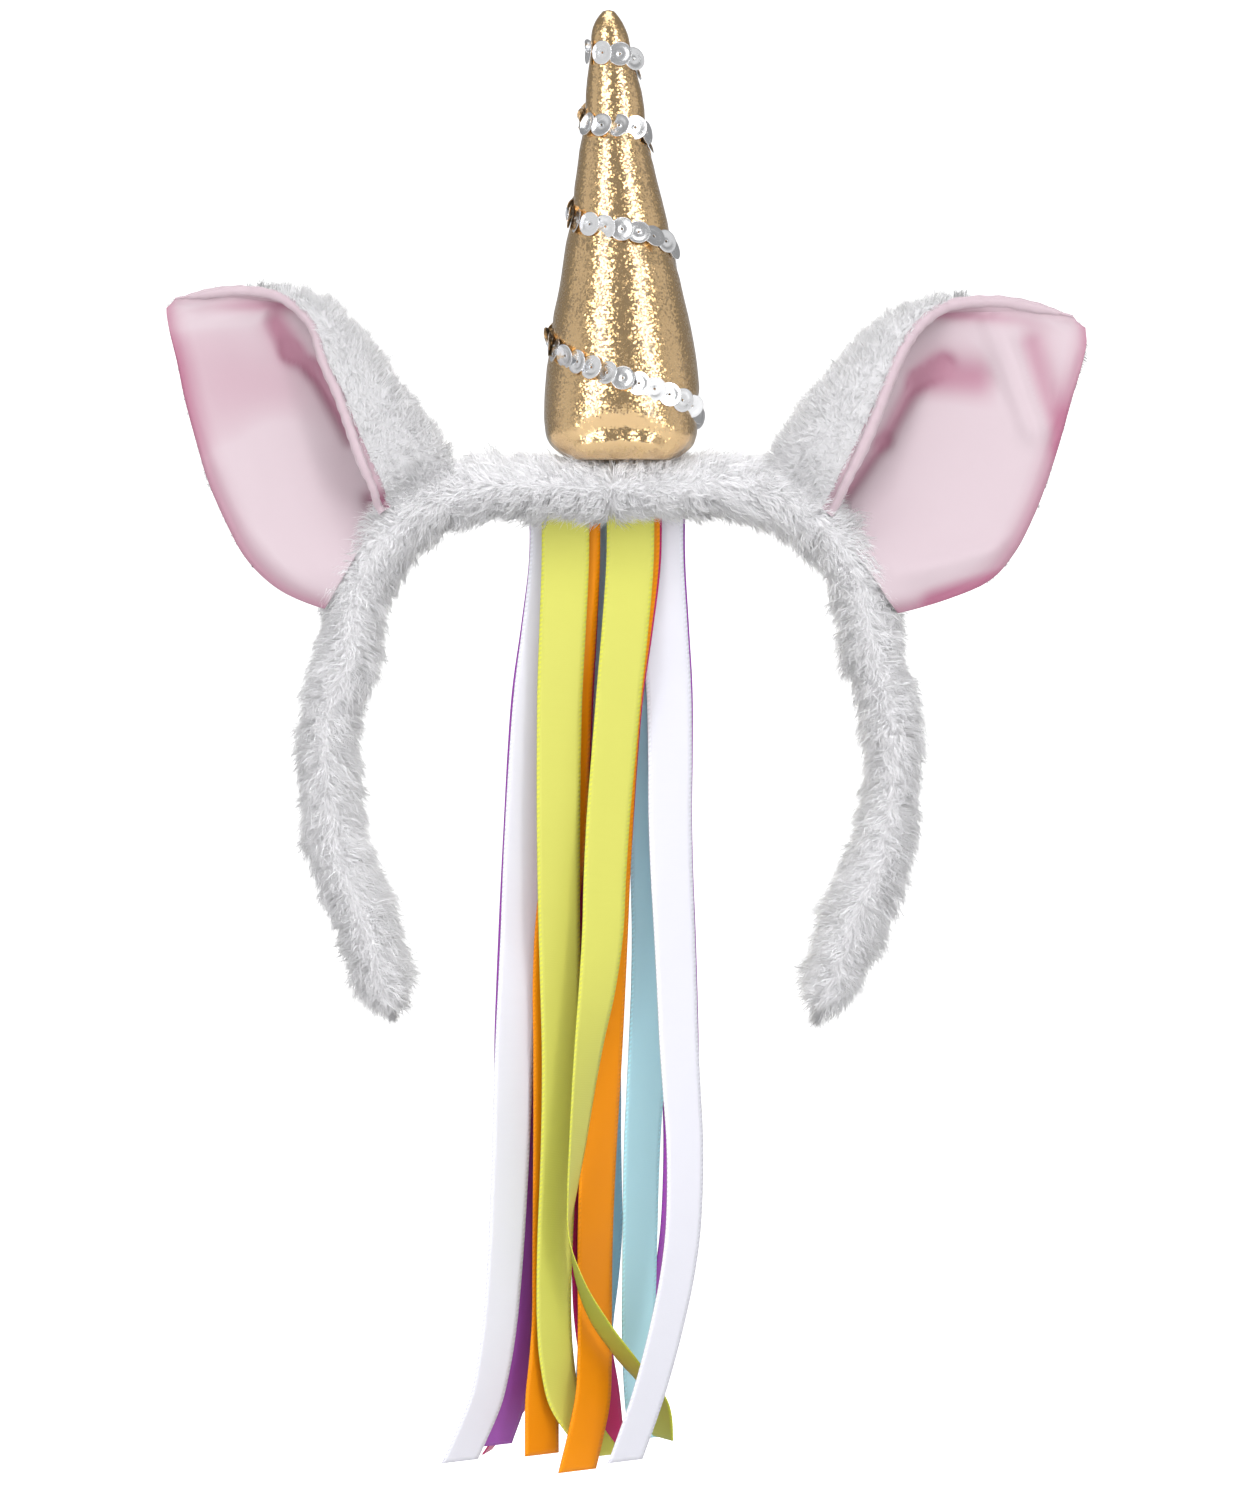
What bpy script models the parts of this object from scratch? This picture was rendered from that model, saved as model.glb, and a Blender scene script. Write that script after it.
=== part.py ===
"""Unicorn horn headband: a plush-covered hoop, two folded ears, a stuffed gold horn wound with a string
of sequins, and six satin ribbons folded in two behind the crown.

Metres, +Z up, the front faces -Y. The origin is the underside of the hoop at the crown, where it sits
on the head. The tables are in millimetres and are turned into metres where they are read.
"""

import math

import bmesh
import bpy
import numpy as np
from mathutils import Vector

MM = 0.001
GAP = 0.3

# The hoop: legs from the table, quarter bends and a straight crown.
CROWN_Z = 8.6
CROWN_HALF_HEIGHT = 8.6
HOOP_HALF_DEPTH = 11.0
BEND_RADIUS = 37.0
BEND_CENTRE_X = {"left": -28.0, "right": 27.5}
BEND_CENTRE_Z = CROWN_Z - BEND_RADIUS
HOOP_STEP = 4.0
HOOP_SIDES = 12
TIP_STEPS = (0.18, 0.5, 1.0)
TIP_REACH = 0.96
TIP_FLATNESS = 0.72
TIP_LEAST = 0.2
TUFT_CALM = 12.0
TUFT_DEPTH = 1.1
TUFT_LENGTH = 13.0

# One leg of the hoop from its tip up to the bend, with the columns centre x, centre z, half height.
LEGS = {
    "left": (
        (-56.6, -118.3, 6.3),
        (-59.6, -107.3, 7.9),
        (-63.2, -97.0, 8.3),
        (-67.0, -87.0, 8.4),
        (-69.6, -77.0, 8.2),
        (-70.9, -67.0, 7.8),
        (-71.3, -57.0, 7.6),
        (-70.2, -47.0, 8.1),
        (-67.2, -37.5, 8.8),
    ),
    "right": (
        (53.8, -118.3, 6.3),
        (57.9, -107.3, 8.3),
        (61.6, -97.0, 8.8),
        (65.7, -87.0, 8.8),
        (68.4, -77.0, 8.2),
        (69.9, -67.0, 7.7),
        (70.2, -57.0, 7.6),
        (69.0, -47.0, 7.9),
        (66.6, -37.5, 8.2),
    ),
}

# The horn, from its sewn base to its tip, with the columns height z, centre x, half width.
HORN_SECTIONS = (
    (17.6, 2.6, 12.6),
    (18.6, 2.5, 15.4),
    (20.6, 2.2, 17.6),
    (24.0, 2.0, 18.9),
    (29.0, 2.4, 19.4),
    (38.0, 2.5, 18.9),
    (48.0, 2.2, 17.6),
    (58.0, 2.1, 15.4),
    (68.0, 1.8, 13.6),
    (78.0, 1.4, 11.7),
    (88.0, 0.9, 9.7),
    (98.0, 0.6, 8.2),
    (108.0, 0.4, 6.9),
    (118.0, -0.4, 5.3),
    (123.0, -0.8, 3.9),
    (126.2, -0.9, 2.2),
    (127.6, -0.9, 0.9),
)
HORN_DEPTH_RATIO = 0.8
HORN_SIDES = 22
HORN_ROWS = 29
HORN_SQUARENESS = 0.05
HORN_SQUARE_HEIGHT = 9.0
HORN_PUFF = 0.5
HORN_PUFF_REACH = 6.0
HORN_SLIM = 8.0
HORN_EASING = 0.09

# The string of sequins: its height at each half turn, counted from the front of the horn.
STRING_TURNS = (-0.9, -0.5, 0.5, 1.5, 2.5, 3.5, 4.5, 5.5, 6.5, 6.95)
STRING_HEIGHTS = (119.0, 117.3, 114.3, 100.0, 95.8, 76.6, 67.3, 45.3, 26.2, 21.6)
SEQUIN_DIAMETER = 5.8
SEQUIN_PITCH = 4.1
SEQUIN_LIFT = 0.45
# One sequin, with the columns share of the pitch along the string, share of the half width, share of
# the lap's rise.
SEQUIN_SECTIONS = ((0.04, 0.82, 1.0), (0.3, 0.97, 0.75), (0.6, 1.0, 0.45), (0.92, 0.86, 0.15))
SEQUIN_RISE = 0.8
SEQUIN_SHEET = 0.45
SEQUIN_BOW = 0.9
SEQUIN_FOOT = 0.9

# An ear seen from the front, from its base on the hoop to its tip: the outer edge, the sewn seam of
# the curled edge, and the fold that is the ear's outline on the side of the horn. The columns are
# outer x, outer z, seam x, seam z, fold x, fold z.
EARS = {
    "left": (
        (-73.5, -21.5, -58.0, 3.2, -39.0, 15.6),
        (-83.2, -17.2, -59.2, 7.5, -41.5, 21.0),
        (-91.2, -9.7, -62.2, 14.5, -46.0, 27.0),
        (-96.7, 0.2, -64.8, 22.0, -52.5, 34.5),
        (-101.0, 10.2, -66.8, 30.2, -58.8, 43.0),
        (-104.0, 20.2, -69.8, 39.2, -64.6, 50.6),
        (-106.7, 30.2, -75.0, 48.0, -71.4, 55.4),
        (-108.7, 39.7, -83.0, 54.4, -80.8, 57.6),
        (-110.4, 46.5, -93.0, 56.6, -92.2, 58.0),
        (-111.2, 50.7, -103.0, 56.0, -102.6, 56.8),
        (-111.4, 53.2, -109.4, 55.2, -109.2, 55.6),
    ),
    "right": (
        (73.2, -22.7, 55.0, 2.8, 38.0, 16.4),
        (84.5, -19.4, 58.2, 9.4, 43.0, 24.0),
        (94.2, -15.0, 62.2, 17.7, 49.6, 33.0),
        (100.5, -8.0, 65.8, 26.5, 55.4, 39.4),
        (105.2, 1.0, 68.8, 34.5, 61.2, 45.2),
        (108.8, 10.2, 72.2, 42.0, 66.4, 50.0),
        (112.0, 20.2, 77.0, 48.2, 72.6, 53.2),
        (114.8, 30.2, 85.0, 52.8, 82.4, 55.4),
        (117.2, 38.2, 97.0, 53.7, 95.8, 55.4),
        (118.5, 44.0, 108.0, 52.2, 107.6, 53.2),
        (118.3, 48.2, 115.4, 50.6, 115.2, 51.2),
    ),
}
# How far back each line of the ear lies, row by row as above; less than zero is nearer the front. The
# columns are seam y, fold y, pocket y, floor y, outer y and how much of the horn-side edge is curled
# over, which ends before the tip.
EAR_DEPTHS = (
    (-7.8, -3.0, 1.6, -6.2, -5.2, 1.0),
    (-12.0, -5.0, 2.4, -4.8, -5.5, 1.0),
    (-13.6, -6.0, 3.2, -2.4, -4.6, 1.0),
    (-13.2, -6.0, 3.4, -0.6, -4.0, 1.0),
    (-12.2, -5.2, 3.6, 0.4, -3.5, 1.0),
    (-10.6, -4.2, 3.5, 1.0, -3.0, 1.0),
    (-8.0, -3.0, 3.0, 1.2, -2.5, 0.9),
    (-4.6, -1.5, 2.0, 1.0, -2.0, 0.55),
    (-1.6, -0.3, 0.9, 0.8, -1.4, 0.1),
    (-0.8, -0.1, 0.4, 0.5, -0.8, 0.0),
    (-0.3, 0.0, 0.1, 0.2, -0.3, 0.0),
)
# Where the lines of an ear lie between its seam, its fold and its outer edge, as shares.
CURL_FRONT = 0.78
CURL_BEHIND = 0.22
CURL_FRONT_DEPTH = 0.2
CURL_BEHIND_DEPTH = 0.75
FLAT_EDGE = (0.0, 0.05, 0.1, 0.16)
POCKET_PLACE = 0.25
POCKET_SHIFT = 0.15
FLOOR_PLACE = 0.58
EAR_ROWS = 14
EAR_FOOT = 6.0
EAR_ACROSS = (0.0, 0.35, 0.85, 1.35, 1.75, 2.15, 2.55, 3.0, 3.5, 4.0, 4.6, 5.2, 5.7, 6.0)
LINING_THICKNESS = 1.0
LINING_RIM = 0.9
OUTER_RIM = 0.6
SEAM_RIM_WIDTH = 0.4
OUTER_RIM_WIDTH = 0.3
LEVEL_TIP = 1.3
LEVEL_FADE = 4.0
THIN_TIP = 0.3
THIN_FADE = 3.0
LINING_TIP = 0.5
PLUSH_THICKNESS = 3.0
PLUSH_EDGE = 0.6
OUTER_THINNING = 0.75
OUTER_THINNING_WIDTH = 1.1
SEAM_THINNING = 0.5
SEAM_THINNING_WIDTH = 0.5

# The ribbons: half-way lines of the strands by height, seen from the front. The levels say which
# strand hangs in front of which, at the top and from half-way down.
RIBBON_WIDTH = 12.0
RIBBON_THICKNESS = 1.0
RIBBON_STATIONS = 20
RIBBON_CROWDING = 0.35
RIBBON_SHORTEST = 5.0
RIBBON_ROOM = 0.6
RIBBON_SLANT_ROOM = 2.0
RIBBON_SIDE_ROOM = 1.4
RIBBON_PITCH = 1.45
RIBBON_FRONT_HEIGHTS = (8.0, -6.0, -45.0, -110.0, -240.0)
RIBBON_FRONT = (11.9, 14.6, 17.0, 18.6, 20.8)
LEVEL_CHANGE = (-98.0, -125.0)
NO_NEED = -99.0
LEAST_FACING = 0.62
BEND_EASING = 0.3
FRONT_EASING = 0.4
BACK_EASING = 0.6
SETTLING_STEPS = 240
RIBBON_HEIGHTS = (8.0, -6.0, -45.0, -80.0, -110.0, -135.0, -160.0, -184.0, -207.0, -222.0)
RIBBON_TURN = (0, 4, 20, 26, 32, 36, 40, 43, 45, 46, 46)
OWN_TURN = {
    "green_right": (0, 4, 20, 26, 34, 56, 72, 92, 118, 116, 112),
    "magenta_left": (0, 4, 20, 26, 32, 36, 40, 44, 52, 66, 80),
}
# The columns are top level, low level, x at each of the heights, x of the end, z of the end.
RIBBONS = {
    "green_left": (
        0,
        3.0,
        (-11.8, -11.8, -13.3, -13.6, -13.3, -12.9, -13.5, -14.6, -14.5, -12.3),
        -2.3,
        -237.3,
    ),
    "green_right": (
        0,
        1.0,
        (4.6, 4.6, 1.5, -1.4, -2.9, -6.3, -9.0, -10.3, -0.5, 10.8),
        13.0,
        -234.0,
    ),
    "orange_left": (
        1,
        4.0,
        (-9.0, -9.0, -10.9, -12.1, -14.9, -15.1, -15.4, -15.9, -16.3, -17.8),
        -17.9,
        -236.5,
    ),
    "orange_right": (
        1,
        2.0,
        (6.0, 6.0, 1.8, -0.4, -1.4, -2.4, -3.6, -4.4, -4.5, -4.9),
        -8.9,
        -240.0,
    ),
    "magenta_left": (
        2,
        5.7,
        (-9.0, -9.0, -10.5, -11.5, -12.0, -14.0, -15.0, -16.0, -18.0, -21.3),
        -32.3,
        -238.0,
    ),
    "magenta_right": (
        2,
        3.6,
        (6.5, 6.5, 2.1, -0.3, -1.8, -3.0, -4.3, -5.9, -5.0, -2.5),
        -1.0,
        -237.3,
    ),
    "white_left": (
        3,
        4.8,
        (-14.8, -14.8, -19.4, -21.9, -23.4, -24.8, -25.8, -27.0, -29.1, -32.0),
        -38.6,
        -237.5,
    ),
    "white_right": (
        3,
        0.0,
        (12.0, 12.0, 14.5, 14.8, 16.1, 17.1, 18.5, 17.5, 13.0, 8.8),
        3.3,
        -237.5,
    ),
    "aqua_left": (
        4,
        6.2,
        (-7.0, -7.0, -8.8, -7.5, -4.5, -2.8, -2.4, -2.0, -4.3, -5.3),
        -6.0,
        -233.5,
    ),
    "aqua_right": (
        4,
        4.2,
        (9.5, 9.5, 10.8, 10.0, 10.1, 9.0, 7.6, 7.1, 6.8, 7.3),
        8.5,
        -235.3,
    ),
    "purple_left": (
        5,
        5.4,
        (-15.0, -15.0, -20.0, -22.3, -24.0, -25.0, -24.6, -24.1, -24.8, -25.9),
        -30.0,
        -234.8,
    ),
    "purple_right": (
        5,
        5.4,
        (12.5, 12.5, 14.9, 15.1, 16.5, 17.4, 17.8, 16.5, 12.5, 9.5),
        7.0,
        -232.3,
    ),
}

# Colour, roughness and metallic value of each material.
FINISHES = {
    "white_plush": ((0.86, 0.86, 0.89), 0.95, 0.0),
    "pink_satin": ((0.78, 0.55, 0.63), 0.4, 0.0),
    "gold_foil": ((0.72, 0.47, 0.2), 0.32, 0.9),
    "silver_sequin": ((0.85, 0.86, 0.88), 0.15, 1.0),
    "green": ((0.6, 0.63, 0.1), 0.45, 0.0),
    "orange": ((0.8, 0.3, 0.02), 0.45, 0.0),
    "magenta": ((0.55, 0.02, 0.12), 0.45, 0.0),
    "aqua": ((0.35, 0.63, 0.72), 0.45, 0.0),
    "white": ((0.86, 0.86, 0.9), 0.45, 0.0),
    "purple": ((0.2, 0.03, 0.26), 0.45, 0.0),
}


def clear_scene():
    """Remove what the file holds."""
    for thing in list(bpy.data.objects):
        bpy.data.objects.remove(thing, do_unlink=True)


def finish(name):
    """The material of that name, made once."""
    made = bpy.data.materials.get(name)
    if made is None:
        colour, roughness, metallic = FINISHES[name]
        made = bpy.data.materials.new(name)
        made.use_nodes = True
        shader = made.node_tree.nodes["Principled BSDF"]
        shader.inputs["Base Color"].default_value = (*colour, 1.0)
        shader.inputs["Roughness"].default_value = roughness
        shader.inputs["Metallic"].default_value = metallic
    return made


def smooth_curve(keys, rows, at):
    """A smooth curve through rows at rising keys, read at each value of at."""
    keys = np.asarray(keys, float)
    rows = np.asarray(rows, float).reshape(len(keys), -1)
    at = np.asarray(at, float)
    slopes = np.gradient(rows, keys, axis=0)
    first = np.clip(np.searchsorted(keys, at) - 1, 0, len(keys) - 2)
    span = (keys[first + 1] - keys[first])[:, None]
    t = (at - keys[first])[:, None] / span
    start = (1 + 2 * t) * (1 - t) ** 2 * rows[first] + t * (1 - t) ** 2 * span * slopes[first]
    end = t * t * (3 - 2 * t) * rows[first + 1] + t * t * (t - 1) * span * slopes[first + 1]
    return start + end


def unit(vectors):
    """The vectors at length one."""
    return vectors / np.maximum(np.linalg.norm(vectors, axis=-1, keepdims=True), 1e-9)


def add_solid(name, corners, faces, material):
    """A closed smooth-shaded solid from corners in millimetres, its faces turned outwards."""
    mesh = bpy.data.meshes.new(name)
    mesh.from_pydata([Vector(corner) * MM for corner in corners], [], faces)
    work = bmesh.new()
    work.from_mesh(mesh)
    bmesh.ops.recalc_face_normals(work, faces=work.faces)
    work.to_mesh(mesh)
    work.free()
    mesh.shade_smooth()
    mesh.set_sharp_from_angle(angle=math.radians(50))
    mesh.materials.append(finish(material))
    solid = bpy.data.objects.new(name, mesh)
    bpy.context.scene.collection.objects.link(solid)
    return solid


def skin_rings(name, rings, material):
    """A solid skinned over closed rings of equal count, with a flat cap at each end."""
    count, sides = rings.shape[:2]
    faces = [tuple(range(sides))]
    for ring in range(count - 1):
        for side in range(sides):
            low = ring * sides + side
            low_after = ring * sides + (side + 1) % sides
            faces.append((low, low_after, low_after + sides))
            faces.append((low, low_after + sides, low + sides))
    faces.append(tuple(range((count - 1) * sides, count * sides)))
    return add_solid(name, rings.reshape(-1, 3), faces, material)


def skin_shell(name, near, far, material):
    """A closed wall between two grids of points that lie one behind the other."""
    rows, across = near.shape[:2]
    size = rows * across
    faces = []
    for row in range(rows - 1):
        for step in range(across - 1):
            corner = row * across + step
            opposite = corner + across + 1
            for half in ((corner, corner + 1, opposite), (corner, opposite, opposite - 1)):
                faces.append(half)
                faces.append(tuple(size + index for index in reversed(half)))
    rim = [step for step in range(across)]
    rim += [row * across + across - 1 for row in range(1, rows)]
    rim += [(rows - 1) * across + step for step in range(across - 2, -1, -1)]
    rim += [row * across for row in range(rows - 2, 0, -1)]
    for here, after in zip(rim, rim[1:] + rim[:1]):
        faces.append((here, after, size + after, size + here))
    corners = np.concatenate([near.reshape(-1, 3), far.reshape(-1, 3)])
    return add_solid(name, corners, faces, material)


def hoop_centreline():
    """Centre and half height of the hoop, from the left tip over the crown to the right tip."""
    rows = [row for row in LEGS["left"]]
    bend_end = LEGS["left"][-1][2]
    for degrees in (180, 160, 140, 120, 100):
        share = (180 - degrees) / 90
        across = BEND_CENTRE_X["left"] + BEND_RADIUS * math.cos(math.radians(degrees))
        up = BEND_CENTRE_Z + BEND_RADIUS * math.sin(math.radians(degrees))
        rows.append((across, up, bend_end + (CROWN_HALF_HEIGHT - bend_end) * share))
    for across in (-16.0, 0.0, 16.0):
        rows.append((across, CROWN_Z, CROWN_HALF_HEIGHT))
    bend_end = LEGS["right"][-1][2]
    for degrees in (80, 60, 40, 20, 0):
        share = (90 - degrees) / 90
        across = BEND_CENTRE_X["right"] + BEND_RADIUS * math.cos(math.radians(degrees))
        up = BEND_CENTRE_Z + BEND_RADIUS * math.sin(math.radians(degrees))
        rows.append((across, up, CROWN_HALF_HEIGHT + (bend_end - CROWN_HALF_HEIGHT) * share))
    rows += [row for row in reversed(LEGS["right"])]
    rows = np.array(rows)
    steps = np.linalg.norm(np.diff(rows[:, :2], axis=0), axis=1)
    keys = np.concatenate([[0.0], np.cumsum(steps)])
    count = int(round(keys[-1] / HOOP_STEP)) + 1
    return smooth_curve(keys, rows, np.linspace(0.0, keys[-1], count))


def tuft_hollow(along, angle):
    """How far the pile dips between its clumps, from 0 to 1, along the hoop and round it."""
    first = math.sin(2 * math.pi * along / TUFT_LENGTH + 1.3 * math.sin(angle))
    second = math.sin(2 * math.pi * along / (0.71 * TUFT_LENGTH) - 2 * angle)
    third = math.sin(2 * math.pi * along / (2.3 * TUFT_LENGTH) + 3 * angle + 1.0)
    return 0.5 + 0.2 * first + 0.18 * second + 0.12 * third


def hoop_rings(room=0.0):
    """Rings of points round the hoop along its centre line, with round tips and some room outside."""
    line = hoop_centreline()
    centres = np.column_stack([line[:, 0], np.zeros(len(line)), line[:, 1]])
    headings = unit(np.gradient(centres, axis=0))
    sections = [(centres[i], headings[i], line[i, 2], HOOP_HALF_DEPTH) for i in range(len(line))]
    for end, sign in ((0, -1.0), (-1, 1.0)):
        centre, heading, height, _ = sections[end]
        depth = HOOP_HALF_DEPTH * TIP_FLATNESS
        sections[end] = (centre, heading, height, depth)
        extra = []
        for share in TIP_STEPS:
            reach = height * math.sin(share * math.pi / 2) * TIP_REACH
            shrink = max(math.sqrt(1.0 - (reach / height) ** 2), TIP_LEAST)
            extra.append((centre + heading * sign * reach, heading, height * shrink, depth * shrink))
        sections = list(reversed(extra)) + sections if end == 0 else sections + extra
    rings = []
    along = 0.0
    previous = sections[0][0]
    total = sum(np.linalg.norm(b[0] - a[0]) for a, b in zip(sections, sections[1:]))
    for centre, heading, height, depth in sections:
        along += float(np.linalg.norm(centre - previous))
        previous = centre
        outward = np.array([-heading[2], 0.0, heading[0]])
        calm = min(1.0, along / TUFT_CALM, (total - along) / TUFT_CALM)
        ring = []
        for side in range(HOOP_SIDES):
            angle = 2 * math.pi * side / HOOP_SIDES
            near_tip = 1.0 if depth >= HOOP_HALF_DEPTH else depth / HOOP_HALF_DEPTH
            dip = TUFT_DEPTH * tuft_hollow(along, angle) * calm * near_tip
            ring.append(
                centre
                + outward * (height - dip + room) * math.cos(angle)
                + np.array([0.0, -1.0, 0.0]) * (depth - dip + room) * math.sin(angle)
            )
        rings.append(ring)
    return np.array(rings)


def build_hoop():
    """The plush-covered hoop, and the room round it that the feet of the ears are cut back to."""
    skin_rings("band", hoop_rings(), "white_plush")
    room = skin_rings("hoop_room", hoop_rings(GAP), "white_plush")
    room.hide_render = True
    room.display_type = "WIRE"
    return room


def cut_back(solid, room):
    """Cut a solid back to the room that its neighbour needs."""
    cut = solid.modifiers.new("seat", "BOOLEAN")
    cut.operation = "DIFFERENCE"
    cut.solver = "EXACT"
    cut.object = room


def horn_section(height):
    """Centre x and half width of the horn at a height."""
    keys = [row[0] for row in HORN_SECTIONS]
    rows = [row[1:] for row in HORN_SECTIONS]
    return smooth_curve(keys, rows, [height])[0]


def string_height(turn):
    """Height of the string after a number of half turns from the front of the horn."""
    return float(smooth_curve(STRING_TURNS, STRING_HEIGHTS, [turn])[0, 0])


def horn_puff(height, angle):
    """How far the stuffing swells between two turns of the string, in millimetres."""
    nearest = HORN_PUFF_REACH
    for half_turn in range(-1, 8, 2):
        turn = half_turn + 1 + angle / math.pi
        if STRING_TURNS[0] <= turn <= STRING_TURNS[-1]:
            nearest = min(nearest, abs(height - string_height(turn)))
    return HORN_PUFF * (nearest / HORN_PUFF_REACH - 1.0)


def horn_point(height, angle, lift=0.0):
    """A point on the horn at an angle from the front, which grows towards the right."""
    centre, half_width = horn_section(height)
    across = math.sin(angle)
    back = -math.cos(angle)
    fade = math.exp((HORN_SECTIONS[0][0] - height) / HORN_SQUARE_HEIGHT)
    square = 1.0 + HORN_SQUARENESS * (1.0 - math.cos(4 * angle)) * fade
    radius = half_width * square + horn_puff(height, angle) * min(1.0, half_width / HORN_SLIM) + lift
    return np.array([centre + radius * across, radius * HORN_DEPTH_RATIO * back, height])


def horn_outward(height, angle):
    """The direction straight out of the horn at a point of it."""
    up = horn_point(height + 2.0, angle) - horn_point(height - 2.0, angle)
    round_it = horn_point(height, angle + 0.1) - horn_point(height, angle - 0.1)
    return unit(np.cross(round_it, up))


def build_horn():
    """The stuffed cone, round in section and a little square at its sewn base."""
    base = HORN_SECTIONS[0][0]
    tip = HORN_SECTIONS[-1][0]
    shares = np.linspace(0.0, 1.0, HORN_ROWS)
    eased = shares - HORN_EASING * np.sin(2 * math.pi * shares)
    rings = []
    for share in eased:
        height = base + (tip - base) * share
        ring = [horn_point(height, 2 * math.pi * side / HORN_SIDES) for side in range(HORN_SIDES)]
        rings.append(ring)
    return skin_rings("horn", np.array(rings), "gold_foil")


def string_route():
    """Even places along the string: point, heading and outward direction at each."""
    turns = np.linspace(STRING_TURNS[0], STRING_TURNS[-1], 900)
    points = np.array([horn_point(string_height(turn), math.pi * turn, SEQUIN_LIFT) for turn in turns])
    lengths = np.concatenate([[0.0], np.cumsum(np.linalg.norm(np.diff(points, axis=0), axis=1))])
    sequins = int(lengths[-1] / SEQUIN_PITCH)
    places = []
    for sequin in range(sequins):
        places += [(sequin + row[0]) * SEQUIN_PITCH for row in SEQUIN_SECTIONS]
    on_route = np.column_stack([np.interp(places, lengths, points[:, axis]) for axis in range(3)])
    at_turn = np.interp(places, lengths, turns)
    headings = unit(np.gradient(on_route, axis=0))
    outward = np.array([horn_outward(string_height(turn), math.pi * turn) for turn in at_turn])
    outward = unit(outward - headings * np.sum(outward * headings, axis=1)[:, None])
    return sequins, on_route, headings, outward


def build_sequin_string():
    """The string of lapped sequins as one body: a scalloped strip whose laps rise like tiles."""
    sequins, points, headings, outward = string_route()
    across = np.cross(headings, outward)
    rings = []
    for index in range(len(points)):
        _, width, rise = SEQUIN_SECTIONS[index % len(SEQUIN_SECTIONS)]
        reach = across[index] * SEQUIN_DIAMETER / 2 * width
        foot = points[index]
        face = foot + outward[index] * (SEQUIN_SHEET + SEQUIN_RISE * rise)
        bow = headings[index] * SEQUIN_BOW * (1.0 - rise)
        low = reach * SEQUIN_FOOT
        rings.append((foot - low, foot + low, face + reach, face - bow, face - reach))
    return skin_rings("sequin_string", np.array(rings), "silver_sequin")


def ear_surface(side):
    """The middle surface of an ear as a grid, base to tip and curled edge to outer edge."""
    lines = []
    for front, depth in zip(EARS[side], EAR_DEPTHS):
        outer, seam, fold = (np.array(front[i : i + 2]) for i in (0, 2, 4))
        seam_y, fold_y, pocket_y, floor_y, outer_y, curl = depth
        curled = np.array([seam, seam + CURL_FRONT * (fold - seam), fold, fold + CURL_BEHIND * (seam - fold)])
        flat = np.array([fold + share * (outer - fold) for share in FLAT_EDGE])
        edge = flat + curl * (curled - flat)
        front_y = seam_y + CURL_FRONT_DEPTH * (fold_y - seam_y)
        behind_y = fold_y + CURL_BEHIND_DEPTH * (pocket_y - fold_y)
        backs = (seam_y, front_y, fold_y, behind_y)
        line = [(*spot, back) for spot, back in zip(edge, backs)]
        pocket_share = POCKET_PLACE - POCKET_SHIFT * curl
        line.append((*(seam + pocket_share * (outer - seam)), pocket_y))
        line.append((*(seam + FLOOR_PLACE * (outer - seam)), floor_y))
        line.append((*outer, outer_y))
        lines.append(line)
    lines = np.array(lines)[:, :, (0, 2, 1)]
    foot = lines[0].copy()
    arm = foot[:, (0, 2)] - (BEND_CENTRE_X[side], BEND_CENTRE_Z)
    foot[:, (0, 2)] -= unit(arm) * EAR_FOOT
    lines = np.concatenate([[foot], lines])
    rows, controls = lines.shape[:2]
    along = smooth_curve(range(rows), lines.reshape(rows, -1), np.linspace(0, rows - 1, EAR_ROWS))
    along = along.reshape(EAR_ROWS, controls, 3)
    return np.array([smooth_curve(range(controls), line, EAR_ACROSS) for line in along])


def build_ear(side, room):
    """The plush back and the satin lining of one ear, one on each side of its middle surface."""
    surface = ear_surface(side)
    upward, crosswise = np.gradient(surface, axis=(0, 1))
    inward = unit(np.cross(crosswise, upward)) * (-1.0 if side == "left" else 1.0)
    from_seam = np.array(EAR_ACROSS)[None, :, None]
    to_outer = EAR_ACROSS[-1] - from_seam
    to_tip = np.linspace(1.0, 0.0, EAR_ROWS)[:, None, None]
    level_out = np.clip(LEVEL_TIP - to_tip * LEVEL_FADE, 0.0, 1.0)
    inward = unit(inward * (1.0 - level_out) + np.array([0.0, -1.0, 0.0]) * level_out)
    thin = np.clip(to_tip * THIN_FADE, THIN_TIP, 1.0)
    seam_rim = np.exp(-((from_seam / SEAM_RIM_WIDTH) ** 2))
    outer_rim = OUTER_RIM * np.exp(-((to_outer / OUTER_RIM_WIDTH) ** 2))
    rim = LINING_RIM * (seam_rim + outer_rim) * (1.0 - level_out)
    lining = LINING_THICKNESS * np.clip(to_tip * LEVEL_FADE, LINING_TIP, 1.0) + rim
    outer_thinning = OUTER_THINNING * np.exp(-((to_outer / OUTER_THINNING_WIDTH) ** 2))
    seam_thinning = SEAM_THINNING * np.exp(-((from_seam / SEAM_THINNING_WIDTH) ** 2))
    fullness = (1.0 - outer_thinning - seam_thinning) * thin
    plush = PLUSH_EDGE + (PLUSH_THICKNESS - PLUSH_EDGE) * fullness
    half_gap = GAP / 2
    inside = surface + inward * half_gap
    satin = skin_shell("ear_" + side + "_lining", inside + inward * lining, inside, "pink_satin")
    outside = surface - inward * half_gap
    back = skin_shell("ear_" + side + "_back", outside, outside - inward * plush, "white_plush")
    cut_back(satin, room)
    cut_back(back, room)


def read_strand(name, at):
    """Place across and angle of turn of a strand at some heights, held past its end."""
    _, _, x_by_height, end_x, end_z = RIBBONS[name]
    heights = np.array([*RIBBON_HEIGHTS, end_z])
    rows = np.column_stack([[*x_by_height, end_x], OWN_TURN.get(name, RIBBON_TURN)])
    return smooth_curve(-heights, rows, -np.maximum(at, end_z))


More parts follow.
